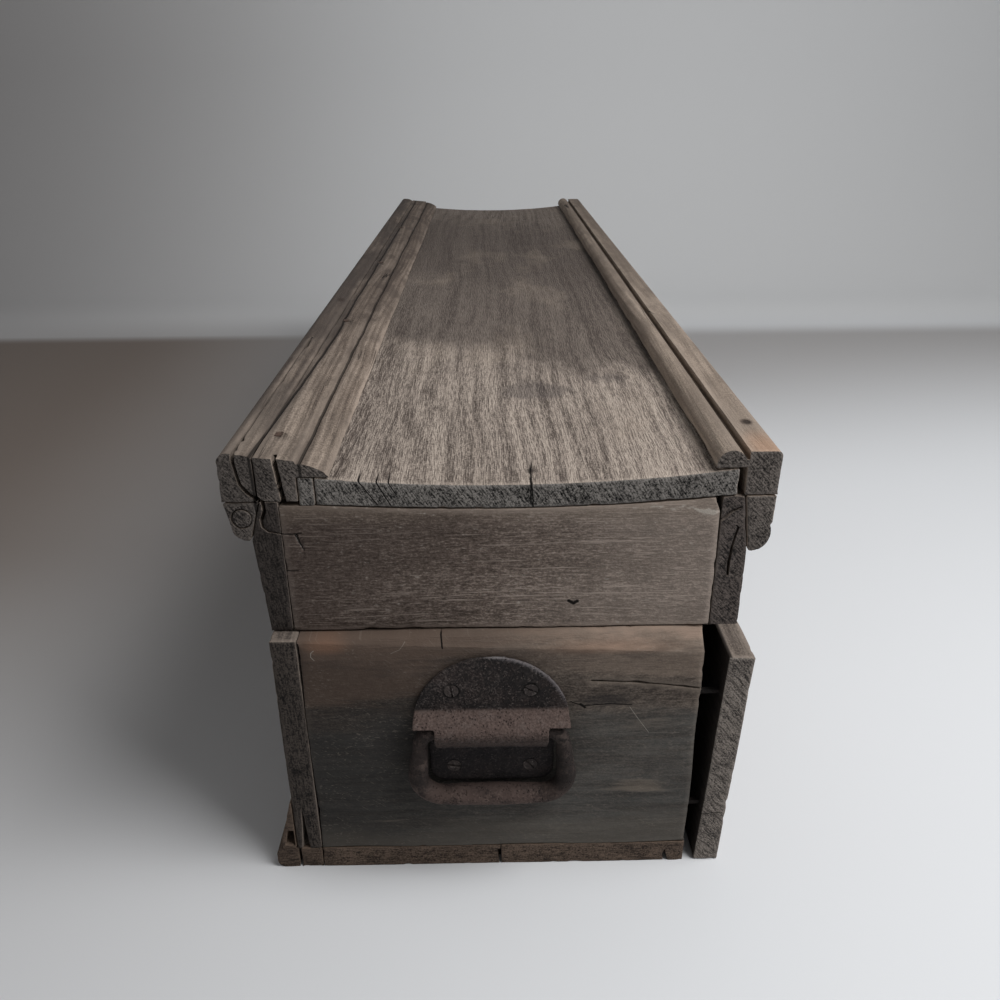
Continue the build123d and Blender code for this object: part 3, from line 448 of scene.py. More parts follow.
baseEndMarks = {
    "slateTones": (tone(58, 59, 58), tone(82, 83, 81)),
    "leftTone": tone(32, 31, 31),
    "footTone": tone(100, 94, 86),
    "warmTone": tone(92, 76, 66),
    "shadeTone": tone(40, 38, 39),
    "shades": [((58, -555, 127), (26, 40, 7), 1.0), ((-66, -555, 96), (20, 40, 26), 0.6)],
    "paleTone": tone(124, 112, 100),
    "pales": [((80, -555, 62), (30, 40, 9), 1.0), ((-40, -555, 36), (60, 40, 8), 0.5),
              ((84, -555, 110), (30, 40, 14), 0.6)],
    "upperTones": (tone(96, 82, 73), tone(134, 119, 107)),
    "bandTones": (tone(88, 74, 65), tone(158, 136, 121)),
    "bandEdgeTone": tone(60, 53, 50),
    "blushTone": tone(150, 110, 86),
    "blushes": [((-98, -555, 166), (18, 40, 7), 1.0), ((60, -555, 162), (56, 40, 5), 0.6)],
    "haloTone": tone(24, 23, 23),
    "halo": [((-8, -555, 106), (70, 40, 58), 1.0)],
    "fleckTone": tone(140, 130, 120),
    "scratchTone": tone(170, 164, 154),
    "scratches": [([(73, 121.7), (78, 113.6), (85, 103)], 0.35, 0.7),
                  ([(85, 102.5), (103, 102.1)], 0.3, 0.3),
                  ([(-104.6, 163.5), (-106.2, 162), (-106.5, 159.4), (-104.8, 157)], 0.45, 0.7),
                  ([(-54, 167.5), (-57, 163.4), (-62, 161)], 0.35, 0.4)],
    "cuts": [([(39, 125.9), (46, 122.9), (61.5, 124), (74, 123.1)], 0.6, 1.0),
             ([(44.6, 124), (47, 121.8)], 1.6, 1.0), ([(-34.3, 171), (-33.3, 164)], 0.8, 1.0)],
}


def paintBaseEnd(f, place, body):
    marks = baseEndMarks
    x, y, z = (f.part(place, axis) for axis in range(3))
    cloudy = f.swing(place, (11, 11, 36), 4.0, 0.6, 81.0)
    fine = f.swing(place, (26, 26, 260), 5.0, 0.62, 83.0)
    # slate grey below, darker to the left (partly the board's own tone, partly painted shade), and
    # brown again at the foot
    level = z - x * 0.05 + cloudy * 0.05 + fine * 0.012
    slate = f.mix(f.fade(fine, -0.16, 0.16), *marks["slateTones"])
    body = f.mix(f.fade(level, 0.127, 0.108) * 0.62, body, slate)
    body = f.mix(f.fade(x + cloudy * 0.1, 0.03, -0.10) * 0.66, body, marks["leftTone"])
    body = f.mix(f.fade(level, 0.046, 0.022) * 0.4, body, marks["footTone"])
    # warm at the upper left, with patches of painted shade and pale streaks elsewhere
    warm = f.fade(x, -0.02, -0.05) * f.fade(z + fine * 0.03 + cloudy * 0.03, 0.118, 0.134)
    body = f.mix(warm * 0.5, body, marks["warmTone"])
    shade = f.fade(f.spots(place, marks["shades"]) + fine, 0.2, 0.9)
    body = f.mix(shade * 0.6, body, marks["shadeTone"])
    pale = f.fade(f.spots(place, marks["pales"]) + fine * 2.4, 0.3, 1.1)
    body = f.mix(pale * 0.5, body, marks["paleTone"])
    # a band along the worn top, paler partly from rubbing and partly as a painted highlight, brightest
    # on the right, with a dark line under it
    edge = z + fine * 0.03 + cloudy * 0.035
    right = f.fade(x, -0.02, 0.08)
    upper = f.fade(edge + right * 0.016, 0.150, 0.162)
    body = f.mix(upper * 0.5, body, f.mix(right, *marks["upperTones"]))
    rough = f.fade(f.cloud(place, (60, 60, 340), 4.0, 0.65, 84.0), 0.36, 0.62)
    band = f.fade(edge, 0.159, 0.167) * (0.2 + rough * 0.36)
    body = f.mix(band, body, f.mix(right, *marks["bandTones"]))
    bandEdge = f.fade(edge, 0.162, 0.157) * f.fade(edge, 0.148, 0.154) * rough
    body = f.mix(bandEdge * 0.4, body, marks["bandEdgeTone"])
    body = f.mix(f.spots(place, marks["blushes"]) * 0.32, body, marks["blushTone"])
    # painted shade with some soot round the handle, small flecks, and scratches
    body = f.mix(f.spots(place, marks["halo"]) * 0.7, body, marks["haloTone"])
    fleck = f.fade(f.cloud(place, (420, 420, 1100), 2.0, 0.5, 85.0), 0.60, 0.70)
    fleck = fleck * f.fade(f.cloud(place, (40, 40, 60), 2.0, 0.5, 86.0), 0.46, 0.60)
    rub = f.cloud(f.turned(place, -38), (160, 1300, 1), 1.0, 0.4, 87.0)
    fleck = fleck + f.fade(rub, 0.66, 0.74) * 0.6
    body = f.mix(fleck * 0.24, body, marks["fleckTone"])
    near = f.fade(y, -0.542, -0.549)
    body = f.mix(f.lines(place, marks["scratches"]) * near * 0.7, body, marks["scratchTone"])
    return body, f.maths("MINIMUM", f.lines(place, marks["cuts"]) * near, 1.0)


sprungMarks = {
    "gapTone": tone(20, 17, 16),
    "cuts": [([(121.1, 37.8), (128.3, 39.2), (134.5, 39.1)], 0.5, 1.0)],
}


def paintSprung(f, place, body):
    # painted shade: the face in the open gap is dark; it leans out more towards the near end
    x, y, z = (f.part(place, axis) for axis in range(3))
    sprung = 0.5 - y / 1.11
    gap = f.fade(x - 0.1136 - sprung * (z * 0.0473 + 0.006), 0.003, 0.0015)
    body = f.mix(gap * f.fade(y, -0.38, -0.48) * 0.9, body, sprungMarks["gapTone"])
    return body, f.lines(place, sprungMarks["cuts"]) * f.fade(y, -0.53, -0.54)


railMarks = {
    "farTone": tone(70, 61, 56),
    "mottleTone": tone(74, 65, 60),
    "rightTone": tone(170, 155, 140),
    "leftTone": tone(62, 56, 53),
    "blushTone": tone(168, 128, 100),
    "blush": [((138, -540, 274), (16, 34, 14), 1.0)],
    "nearTone": tone(164, 151, 138),
    "knotTone": tone(52, 42, 38),
    "knots": [((137.5, -501, 275), (5.5, 8, 14), 1.0), ((-134, -190, 276), (6, 12, 14), 0.8)],
    "quirkTone": tone(58, 50, 46),
    "seamTone": tone(52, 45, 42),
}


def paintRails(f, place, body):
    marks = railMarks
    x, y = f.part(place, 0), f.part(place, 1)
    cloudy = f.swing(place, (30, 5, 30), 4.0, 0.6, 91.0)
    mottle = f.fade(f.cloud(place, (70, 26, 70), 4.0, 0.65, 93.0), 0.44, 0.62)
    far = f.fade(y + cloudy * 0.4, -0.50, -0.05)
    body = f.mix(far * (0.40 + mottle * 0.25), body, marks["farTone"])
    body = f.mix(mottle * 0.28, body, marks["mottleTone"])
    # painted light makes the right rail pale; the left rail's outer strip is grey
    body = f.mix(f.fade(x, 0.08, 0.09) * 0.22, body, marks["rightTone"])
    grey = f.fade(x + cloudy * 0.016, -0.117, -0.127) * f.fade(cloudy, 0.16, -0.06)
    body = f.mix(grey * 0.62 + f.fade(x, -0.10, -0.13) * 0.12, body, marks["leftTone"])
    body = f.mix(f.spots(place, marks["blush"]) * 0.5, body, marks["blushTone"])
    body = f.mix(f.fade(y, -0.42, -0.545) * 0.16, body, marks["nearTone"])
    knot = f.spots(place, marks["knots"])
    body = f.mix(f.fade(knot, 0.1, 0.9) * 0.8, body, marks["knotTone"])
    # the quirk beside the left bead, with painted shade on the bead's left side, and the open seam of
    # the outer strip
    wobble = f.swing(place, (12, 9, 12), 4.0, 0.55, 95.0) * 0.0045
    quirk = f.maths("ABSOLUTE", x + wobble + 0.1035)
    seam = f.maths("ABSOLUTE", x + wobble + f.maths("MAXIMUM", y * -1.0 - 0.3426, 0.0) * 0.036 + 0.1215)
    body = f.mix(f.fade(quirk, 0.0065, 0.0005) * 0.45, body, marks["quirkTone"])
    body = f.mix(f.fade(seam, 0.0045, 0.0005) * 0.4, body, marks["seamTone"])
    line = f.fade(quirk, 0.0011, 0.0004) * 0.75 + f.fade(seam, 0.0011, 0.0004) * 0.85
    return body, f.maths("MAXIMUM", f.fade(knot, 0.75, 1.0) * 0.5, line)


# Rusted iron. Its pits and crust are the same everywhere, and the handle's plate and bail are painted.

ironDefaults = {
    "pitTone": tone(24, 19, 18),
    "rustShare": 0.5,
    "pits": 0.6,
    "depth": 0.0005,
    "paint": None,
}


def rustedIron(name, **changes):
    look = {**ironDefaults, **changes}
    f = Finish(bpy.data.materials.new(name))
    place, seed = f.place(), look["seed"]
    cloudy = f.cloud(place, (70, 70, 70), 5.0, 0.65, seed)
    grainy = f.cloud(place, (800, 800, 800), 3.0, 0.7, seed + 3)
    crust = f.cloud(place, (260, 260, 260), 4.0, 0.65, seed + 9)
    pits = f.fade(f.cells(place, (560, 560, 560), seed), 0.40, 0.14) * f.fade(crust, 0.40, 0.58)
    turn = 0.66 - 0.32 * look["rustShare"]
    rusty = f.fade(cloudy * 0.6 + grainy * 0.4, turn - 0.09, turn + 0.09)
    body = f.mix(rusty, look["dark"], look["rust"])
    body = f.mix(f.fade(grainy * 0.7 + crust * 0.3, 0.54, 0.66) * 0.55, body, look["pale"])
    if look["paint"]:
        body = look["paint"](f, place, body, grainy)
    body = f.mix(pits * look["pits"], body, look["pitTone"])
    wear = f.attribute("wear")
    body = f.mix(f.fade(wear + grainy * 0.4 - 0.2, 0.35, 0.85) * 0.5, body, look["pale"])
    height = crust * 0.5 + grainy * 0.7 - pits * 0.9
    return f.done(body, 0.70 + grainy * 0.25, height, look["depth"], metal=0.1, specular=0.2)


plateMarks = {
    "tongueTones": (tone(50, 42, 39), tone(82, 69, 64)),
    "barrelTones": (tone(80, 66, 61), tone(108, 92, 86)),
    "dustTone": tone(112, 103, 99),
    "topTone": tone(140, 136, 136),
    "top": [((0, -558, 159.4), (22, 16, 2.6), 1.0), ((0, 558, 159.4), (22, 16, 2.6), 1.0)],
    "rimTone": tone(126, 121, 123),
    "rimCentre": (-0.0066, 0, 0.1138),
    "sunkTone": tone(13, 11, 11),
    "screws": [(-0.0291, 0, 0.1366), (0.0159, 0, 0.1366)],
}


def paintPlate(f, place, body, grainy):
    marks = plateMarks
    x, z = f.part(place, 0), f.part(place, 2) + (grainy - 0.5) * 0.004
    # the rolled barrel is dusty and lighter, and so is its tongue
    grains = f.fade(grainy, 0.32, 0.68)
    tongue = f.fade(z, 0.0985, 0.1035) * f.fade(z, 0.1250, 0.1225)
    body = f.mix(tongue * 0.85, body, f.mix(grains, *marks["tongueTones"]))
    barrel = f.fade(z, 0.1100, 0.1160) * f.fade(z, 0.1245, 0.1225)
    body = f.mix(barrel * 0.5, body, f.mix(grains, *marks["barrelTones"]))
    dusty = f.fade(x + (grainy - 0.5) * 0.05, 0.030, -0.040) * f.fade(z, 0.122, 0.130)
    body = f.mix(dusty * f.fade(grainy, 0.46, 0.62) * 0.22, body, marks["dustTone"])
    # the rim is pale at its top and down its right side, partly rubbed and partly a painted highlight
    top = f.fade(f.spots(place, marks["top"]) + grainy - 0.5, 0.3, 0.9)
    body = f.mix(top * 0.4, body, marks["topTone"])
    flat = f.stretched(place, (1, 0, 1))
    reach = f.length(f.away(flat, marks["rimCentre"])) + (grainy - 0.5) * 0.004
    rimHighlight = f.fade(reach, 0.0425, 0.0448) * f.fade(x, -0.012, 0.006)
    body = f.mix(rimHighlight * f.fade(z, 0.124, 0.136) * 0.42, body, marks["rimTone"])
    # painted shade: a dark ring round each screw's head
    for screw in marks["screws"]:
        sunk = f.fade(f.length(f.away(flat, screw)), 0.0058, 0.0046)
        body = f.mix(sunk * 0.92, body, marks["sunkTone"])
    return body


bailMarks = {"rightTone": tone(24, 21, 20), "armTone": tone(32, 28, 27)}


def paintBail(f, place, body, grainy):
    # painted shade: the right side is darker, and the arms that stay in the shade under the barrel are
    # darker than the grip
    z = f.part(place, 2) + (grainy - 0.5) * 0.01
    body = f.mix(f.fade(f.part(place, 0), 0.016, 0.030) * 0.45, body, bailMarks["rightTone"])
    return f.mix(f.fade(z, 0.064, 0.080) * 0.8, body, bailMarks["armTone"])


# Wood pieces: worn copies of the CAD boards

weldDistance = 2e-6
flatAngle = math.radians(0.6)
boardDefaults = {
    "round": 1.0 * mm,
    "sharpAngle": math.radians(30),
    "shortestEdge": 12 * mm,
    "smoothAngle": math.radians(38),
    # how deep, and how many to the metre: slow waves, fibres, rubbed edges and nicks
    "wave": 0.25 * mm,
    "waveScale": 26,
    "rough": 0.16 * mm,
    "roughScale": 330,
    "worn": 0.9 * mm,
    "wornScale": 19,
    "nick": 1.6 * mm,
    "nickScale": 150,
    "wearReach": 6 * mm,
    # how far apart the board is cut: near its ends, along it, and across it
    "endStep": 2.0 * mm,
    "endZone": 14 * mm,
    "longStep": 14 * mm,
    "crossStep": 8 * mm,
}

# Cracks cut into the near ends: (x, z, width) points and a depth, all in millimetres
crackShape = {"proud": 2 * mm, "innerWidth": 0.45}
cracks = {
    "rail_left_outer": [
        ([(-136.2, 281, 1.5), (-136.9, 274.3, 1.8), (-135.8, 266.3, 1.7), (-134.8, 260.7, 1.9),
          (-131.7, 255.8, 2.1), (-128.4, 253.0, 2.3), (-124, 250, 2.3)], 30),
        ([(-136.4, 281, 0.9), (-136.8, 273, 0.9), (-136.2, 268, 0.5)], 230),
    ],
    "rail_left_inner": [
        ([(-129, 253.4, 2.3), (-126.2, 251.6, 2.4), (-123.4, 249.0, 2.2)], 14),
    ],
    "lid_side_left": [
        ([(-124.6, 252, 2.2), (-123.8, 244.9, 2.5), (-126.4, 239.9, 2.2), (-126.0, 235.7, 1.8),
          (-123.4, 232.9, 1.4), (-116, 231.6, 0.8)], 12),
    ],
    "lid_side_right": [
        ([(125.2, 233.2, 0.5), (126.6, 231.6, 1.3), (125.2, 226, 1.0), (124.2, 219.9, 1.2),
          (123.5, 210.7, 1.4), (123.6, 202.2, 1.1)], 10),
        ([(127.4, 243.6, 1.0), (122.2, 241.4, 2.6), (117.4, 237.0, 3.4), (115, 235.4, 2.0)], 1.6),
    ],
    "lid_end_near": [
        ([(114.9, 252.5, 6.4), (115.4, 247.5, 4.6), (116.8, 240.2, 1.0)], 9),
        ([(-108.9, 231.4, 2.4), (-107.7, 226.7, 1.5), (-105.6, 221.5, 0.4)], 2.2),
    ],
    "base_end_near": [
        ([(50, 140.4, 0.4), (72.2, 139.3, 0.7), (92.8, 137.1, 0.8), (117, 133.3, 0.9)], 6),
    ],
    "bottom_board_left": [
        ([(-3.0, 12, 2.4), (-2.8, 5, 1.6), (-2.4, -1, 1.0)], 7),
    ],
    "bottom_board_right": [
        ([(101.4, 9, 0.8), (101, 4.5, 2.6), (102.6, -1, 3.4)], 7),
    ],
}


def welded(mesh):
    bm = bmesh.new()
    bm.from_mesh(mesh)
    bmesh.ops.remove_doubles(bm, verts=bm.verts, dist=weldDistance)
    return bm


def mergedCopy(node):
    # the CAD node as one skin, without the lines between its flat triangles
    bm = welded(frame["nodes"][node].data)
    bmesh.ops.dissolve_limit(bm, angle_limit=flatAngle, verts=bm.verts, edges=bm.edges,
                             use_dissolve_boundaries=False)
    return bm


def placed(name, data):
    made = bpy.data.objects.new(name, data)
    bpy.context.scene.collection.objects.link(made)
    return made


def asObject(name, bm):
    mesh = bpy.data.meshes.new(name)
    bm.to_mesh(mesh)
    bm.free()
    return placed(name, mesh)


def finished(made):
    # the mesh with its modifiers applied; the object itself goes
    view = bpy.context.evaluated_depsgraph_get()
    mesh = bpy.data.meshes.new_from_object(made.evaluated_get(view))
    bpy.data.objects.remove(made)
    return mesh


def standsFor(piece, node, finish):
    # the piece takes the CAD node's place and body, and gets its finish
    piece.data.materials.clear()
    piece.data.materials.append(finish)
    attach(piece, frame["nodes"][node]["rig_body"])
    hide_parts(node)
    print(piece.name, sum(len(face.vertices) - 2 for face in piece.data.polygons))


def newVerts(made):
    # the vertices among what a bmesh operator made
    return [part for part in made["geom"] if isinstance(part, bmesh.types.BMVert)]


def crackCutter(course, depth, endPlane):
    # a crooked wedge: a chain of points widened sideways, then drawn into the wood and narrowed
    points = [Vector((x, 0, z)) * mm for x, z, width in course]
    widths = [width * mm for x, z, width in course]
    last = len(points) - 1
    sides = []
    for i in range(len(points)):
        ahead = points[min(i + 1, last)] - points[max(i - 1, 0)]
        sides.append(ahead.normalized().cross(Vector((0, 1, 0))))
    front = Vector((0, endPlane - crackShape["proud"], 0))
    bm = bmesh.new()
    left = [bm.verts.new(p - s * w / 2 + front) for p, s, w in zip(points, sides, widths)]
    edges = [bm.edges.new(pair) for pair in zip(left, left[1:])]
    for vert in newVerts(bmesh.ops.extrude_edge_only(bm, edges=edges)):
        i = min(range(len(left)), key=lambda k: (left[k].co - vert.co).length)
        vert.co += sides[i] * widths[i]
    for vert in newVerts(bmesh.ops.extrude_face_region(bm, geom=bm.faces[:])):
        nearest = min(points, key=lambda p: (p.x - vert.co.x) ** 2 + (p.z - vert.co.z) ** 2)
        vert.co.x = nearest.x + (vert.co.x - nearest.x) * crackShape["innerWidth"]
        vert.co.z = nearest.z + (vert.co.z - nearest.z) * crackShape["innerWidth"]
        vert.co.y += crackShape["proud"] + depth * mm
    bmesh.ops.recalc_face_normals(bm, faces=bm.faces)
    return asObject("crack", bm)


def crackedCopy(node):
    bm = mergedCopy(node)
    if node not in cracks:
        return bm
    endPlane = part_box(node)[0].y
    board = asObject(node + "Cut", bm)
    cutters = [crackCutter(*crack, endPlane) for crack in cracks[node]]
    for cutter in cutters:
        cut = board.modifiers.new("crack", "BOOLEAN")
        cut.operation = "DIFFERENCE"
        cut.solver = "EXACT"
        cut.object = cutter
    mesh = finished(board)
    for cutter in cutters:
        bpy.data.objects.remove(cutter)
    return welded(mesh)


def sliced(bm, axis, places, keep=None):
    # cuts every face, or only those that keep picks, across the axis at each place
    normal = Vector([1.0 if i == axis else 0.0 for i in range(3)])
    for at in places:
        faces = [face for face in bm.faces if keep is None or keep(face)]
        # dictionaries keep the order, so that each run cuts alike
        edges = dict.fromkeys(edge for face in faces for edge in face.edges)
        verts = dict.fromkeys(vert for face in faces for vert in face.verts)
        bmesh.ops.bisect_plane(bm, geom=[*faces, *edges, *verts], dist=1e-6,
                               plane_co=normal * at, plane_no=normal)


def steps(low, high, step):
    count = max(1, round((high - low) / step))
    return [low + (high - low) * i / count for i in range(1, count)]


def longSlices(low, high, zone, fine, step, growth=1.35):
    # places along a long board: close together near its two ends, then wider and wider
    places, reach, gap = [], 0.0, fine
    while reach + gap < (high - low) / 2:
        reach += gap
        places += [low + reach, high - reach]
        gap = fine if reach < zone else min(step, gap * growth)
    return sorted(places)


def edgeDistance(points, segments):
    # how far each point is from the nearest of the board's own edges, and which way that edge faces
    best = np.full(len(points), 1.0)
    facing = np.zeros((len(points), 3))
    for start, end, outward in segments:
        along = end - start
        share = np.clip((points - start) @ along / (along @ along), 0, 1)
        away = np.linalg.norm(points - start - share[:, None] * along, axis=1)
        facing[away < best] = outward
        best = np.minimum(best, away)
    return best, facing


def boardMoves(bm, near, facing, grain, wear):
    # how each point sinks: a slow wave, fibres, worn edges and small nicks
    shift = Vector((wear["seed"] * 3.1, wear["seed"] * 1.7, wear["seed"] * 2.3))
    stretch = Vector((1, 0.12, 1)) if grain == "Y" else Vector((0.12, 1, 1))
    moves = []
    for vert, edge, outward in zip(bm.verts, near, facing):
        place = vert.co * stretch
        wave = noise.noise(place * wear["waveScale"] + shift) * 0.5 + 0.5
        fibre = noise.noise(place * wear["roughScale"] + shift) * 0.5 + 0.5
        inward = wear["wave"] * wave + wear["rough"] * fibre
        if edge > 0.05:
            worn = max(0.0, noise.noise(vert.co * wear["wornScale"] + shift) + 0.15)
            nick = max(0.0, noise.noise(vert.co * wear["nickScale"] + shift) - 0.22)
            inward += (wear["worn"] * worn + wear["nick"] * nick) * edge ** 2
        # both sides of an edge sink the same way, so that its bevel can't fold over
        turn = min(1.0, edge * 1.25)
        way = vert.normal * (1 - turn) + Vector(outward) * turn
        moves.append(way.normalized() * -inward)
    return moves


def wornBoard(name, node, finish, grain, **changes):
    wear = {**boardDefaults, **changes}
    bm = crackedCopy(node)
    low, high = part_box(node)
    sharp = [edge for edge in bm.edges if edge.is_manifold and edge.is_convex
             and edge.calc_face_angle(0) > wear["sharpAngle"]
             and edge.calc_length() > wear["shortestEdge"]]
    segments = []
    for edge in sharp:
        start, end = (np.array(vert.co) for vert in edge.verts)
        outward = (edge.link_faces[0].normal + edge.link_faces[1].normal).normalized()
        segments.append((start, end, np.array(outward)))
    bmesh.ops.bevel(bm, geom=sharp, offset=wear["round"], offset_type="OFFSET", segments=2, profile=0.5,
                    affect="EDGES", clamp_overlap=True, material=-1)
    endStep, crossStep = wear["endStep"], wear["crossStep"]
    if grain == "Y":
        sliced(bm, 1, longSlices(low.y, high.y, wear["endZone"], endStep, wear["longStep"]))
        sliced(bm, 0, steps(low.x, high.x, crossStep))
        sliced(bm, 2, steps(low.z, high.z, crossStep))
        nearZone = low.y + wear["endZone"] + 1 * mm

        def inNearZone(face):
            return face.calc_center_median().y < nearZone

        sliced(bm, 0, steps(low.x, high.x, endStep), inNearZone)
        sliced(bm, 2, steps(low.z, high.z, endStep), inNearZone)
    else:
        sliced(bm, 0, steps(low.x, high.x, endStep * 1.5))
        sliced(bm, 2, steps(low.z, high.z, endStep))
    bm.normal_update()
    axis = 1 if grain == "Y" else 0
    endFaces = [1.0 if abs(face.normal[axis]) > 0.7 else 0.0 for face in bm.faces]
    bm.verts.ensure_lookup_table()
    bm.verts.index_update()
    away, facing = edgeDistance(np.array([v.co for v in bm.verts]), segments)
    near = np.maximum(0.0, 1 - away / wear["wearReach"]).tolist()
    for vert, move in zip(bm.verts[:], boardMoves(bm, near, facing, grain, wear)):
        vert.co += move
    piece = asObject(name, bm)
    mesh = piece.data
    mesh.attributes.new("wear", "FLOAT", "POINT").data.foreach_set("value", near)
    mesh.attributes.new("endGrain", "FLOAT", "FACE").data.foreach_set("value", endFaces)
    mesh.polygons.foreach_set("use_smooth", [True] * len(mesh.polygons))
    mesh.set_sharp_from_angle(angle=wear["smoothAngle"])
    standsFor(piece, node, finish)


endBoard = {"grain": "X", "ringShare": 0.0}
sideTones = {"light": tone(144, 131, 121), "middle": tone(112, 102, 94), "dark": tone(72, 65, 60)}
oakTop = weatheredWood(
    "oakTop", dashes=0.52, light=tone(182, 169, 157), middle=tone(154, 142, 132),
    dark=tone(74, 65, 60), stain=tone(118, 107, 100), stainShare=0.15, hairs=0.0,
    endLight=tone(140, 135, 130), endDark=tone(10, 10, 11), slant=-58, endRings=0.0, checks=0.0,
    depth=0.0006, paint=paintPanel, seed=2.0)
railWood = weatheredWood(
    "railWood", pith=(0.05, 0.16), fibre=(560, 11, 560), light=tone(172, 157, 144),
    middle=tone(126, 113, 102), dark=tone(62, 53, 48), stain=tone(76, 66, 60), streakShare=0.36,
    endLight=tone(124, 116, 110), endDark=tone(34, 31, 30), endRings=0.2, checks=0.9, depth=0.0008,
    paint=paintRails, seed=5.0)
lidEndWood = weatheredWood(
    "lidEndWood", pith=(-0.75, -0.05), fibre=(850, 190, 850), light=tone(164, 150, 140),
    middle=tone(110, 98, 90), dark=tone(60, 52, 47), stain=tone(80, 69, 63), stainShare=0.3,
    streakShare=0.14, hairs=0.8, checks=0.1, paint=paintLidEnd, seed=9.0, **endBoard)
baseEndWood = weatheredWood(
    "baseEndWood", pith=(-0.85, 0.0), fibre=(800, 150, 800), light=tone(122, 111, 101),
    middle=tone(90, 81, 74), dark=tone(56, 50, 46), stain=tone(62, 57, 54), stainShare=0.3,
    streakShare=0.2, hairs=0.35, checks=0.05, depth=0.0004, paint=paintBaseEnd, seed=13.0, **endBoard)
farLidEndWood = weatheredWood(
    "farLidEndWood", pith=(-0.75, -0.05), fibre=(850, 190, 850), light=tone(150, 136, 126),
    middle=tone(114, 102, 94), dark=tone(74, 64, 58), streakShare=0.14, hairs=0.75, checks=0.3,
    depth=0.0004, seed=10.0, **endBoard)
farBaseEndWood = weatheredWood(
    "farBaseEndWood", pith=(-0.85, 0.0), fibre=(700, 120, 700), light=tone(120, 109, 99),
    middle=tone(88, 82, 76), dark=tone(60, 57, 54), stain=tone(56, 55, 54), stainShare=0.6,
    streakShare=0.2, hairs=0.3, checks=0.2, depth=0.0003, seed=14.0, **endBoard)
lidSideWood = weatheredWood(
    "lidSideWood", pith=(0.0, 0.42), endLight=tone(80, 73, 69), endDark=tone(22, 20, 19), slant=-84,
    endRings=0.1, hairs=0.3, seed=17.0, **sideTones)
lidRightWood = weatheredWood(
    "lidRightWood", pith=(0.24, 0.36), ringPitch=0.0062, endLight=tone(106, 97, 92),
    endDark=tone(30, 28, 28), slant=-48, endRings=0.45, hairs=0.3, seed=18.0, **sideTones)
baseSideWood = weatheredWood(
    "baseSideWood", pith=(0.02, 0.30), light=tone(138, 126, 116), middle=tone(104, 95, 88),
    dark=tone(64, 58, 54), endLight=tone(90, 82, 76), endDark=tone(22, 20, 20), slant=-86,
    endRings=0.1, seed=19.0)
sprungWood = weatheredWood(
    "sprungWood", pith=(0.30, 0.34), ringPitch=0.0085, light=tone(150, 138, 128),
    middle=tone(112, 102, 94), dark=tone(68, 61, 56), endLight=tone(144, 135, 127),
    endDark=tone(46, 43, 42), slant=-52, endRings=0.5, paint=paintSprung, seed=20.0)
bottomWood = weatheredWood(
    "bottomWood", pith=(0.1, -0.1), light=tone(124, 107, 93), middle=tone(92, 78, 68),
    dark=tone(54, 46, 41), endLight=tone(110, 94, 82), endDark=tone(44, 37, 33), slant=2, endRings=0.1,
    seed=21.0)
print("wood finishes ready")

# Each board's finish, and how it differs from the common wear
boards = {
    "lid_panel": (oakTop, {"worn": 0.5 * mm}),
    "panel_filler": (oakTop, {}),
    "rail_left_outer": (railWood, {"worn": 1.6 * mm, "nick": 2.4 * mm}),
    "rail_left_inner": (railWood, {}),
    "rail_right": (railWood, {"worn": 1.2 * mm}),
    "cornice_left": (railWood, {}),
    "cornice_right": (railWood, {}),
    "lid_side_left": (lidSideWood, {}),
    "lid_side_right": (lidRightWood, {}),
    "lid_end_near": (lidEndWood, {}),
    "lid_end_far": (farLidEndWood, {}),
    "base_end_near": (baseEndWood, {"worn": 1.4 * mm}),
    "base_end_far": (farBaseEndWood, {}),
    "base_side_left": (baseSideWood, {}),
    "base_side_right": (sprungWood, {}),
    "bottom_board_left": (bottomWood, {"longStep": 30 * mm}),
    "bottom_board_right": (bottomWood, {"longStep": 30 * mm}),
    "sill_left": (bottomWood, {}),
    "plinth_left": (bottomWood, {}),
}
for number, (node, (finish, changes)) in enumerate(boards.items(), 1):
    title = node.title().replace("_", "")
    grain = "X" if "_end_" in node else "Y"
    wornBoard(title[0].lower() + title[1:], node, finish, grain, seed=number, **changes)
print("boards done")


# Iron: the handles get a pitted skin, the small pieces keep their CAD shape

handleLook = {
    "skins": {"near": 0.75 * mm, "far": 1.1 * mm},
    "smoothRounds": 2,
    "pitDepth": 0.28 * mm,
    "pitScale": 420,
    "flakeDepth": 0.22 * mm,
    "flakeScale": 140,
}


def pittedIron(name, node, finish, skin, seed):
    made = asObject(name + "Skin", mergedCopy(node))
    remesh = made.modifiers.new("skin", "REMESH")
    remesh.mode = "VOXEL"
    remesh.voxel_size = skin
    remesh.use_smooth_shade = True
    smooth = made.modifiers.new("soften", "SMOOTH")
    smooth.factor = 0.5
    smooth.iterations = handleLook["smoothRounds"]
    mesh = finished(made)
    mesh.name = name
    shift = Vector((seed, seed * 0.7, seed * 1.3))
    places = np.empty(len(mesh.vertices) * 3)
    normals = np.empty(len(mesh.vertices) * 3)
    mesh.vertices.foreach_get("co", places)
    mesh.vertex_normals.foreach_get("vector", normals)
    depths, raised = [], []
    for place in places.reshape(-1, 3):
        pit = max(0.0, noise.noise(Vector(place) * handleLook["pitScale"] + shift) - 0.12)
        flake = noise.noise(Vector(place) * handleLook["flakeScale"] + shift) * 0.5 + 0.5
        depths.append(handleLook["pitDepth"] * pit * 2 + handleLook["flakeDepth"] * flake)
        raised.append(max(0.0, 0.6 - 1.5 * pit - 0.35 * flake))
    mesh.vertices.foreach_set("co", places - normals * np.repeat(depths, 3))
    mesh.attributes.new("wear", "FLOAT", "POINT").data.foreach_set("value", raised)
    standsFor(placed(name, mesh), node, finish)


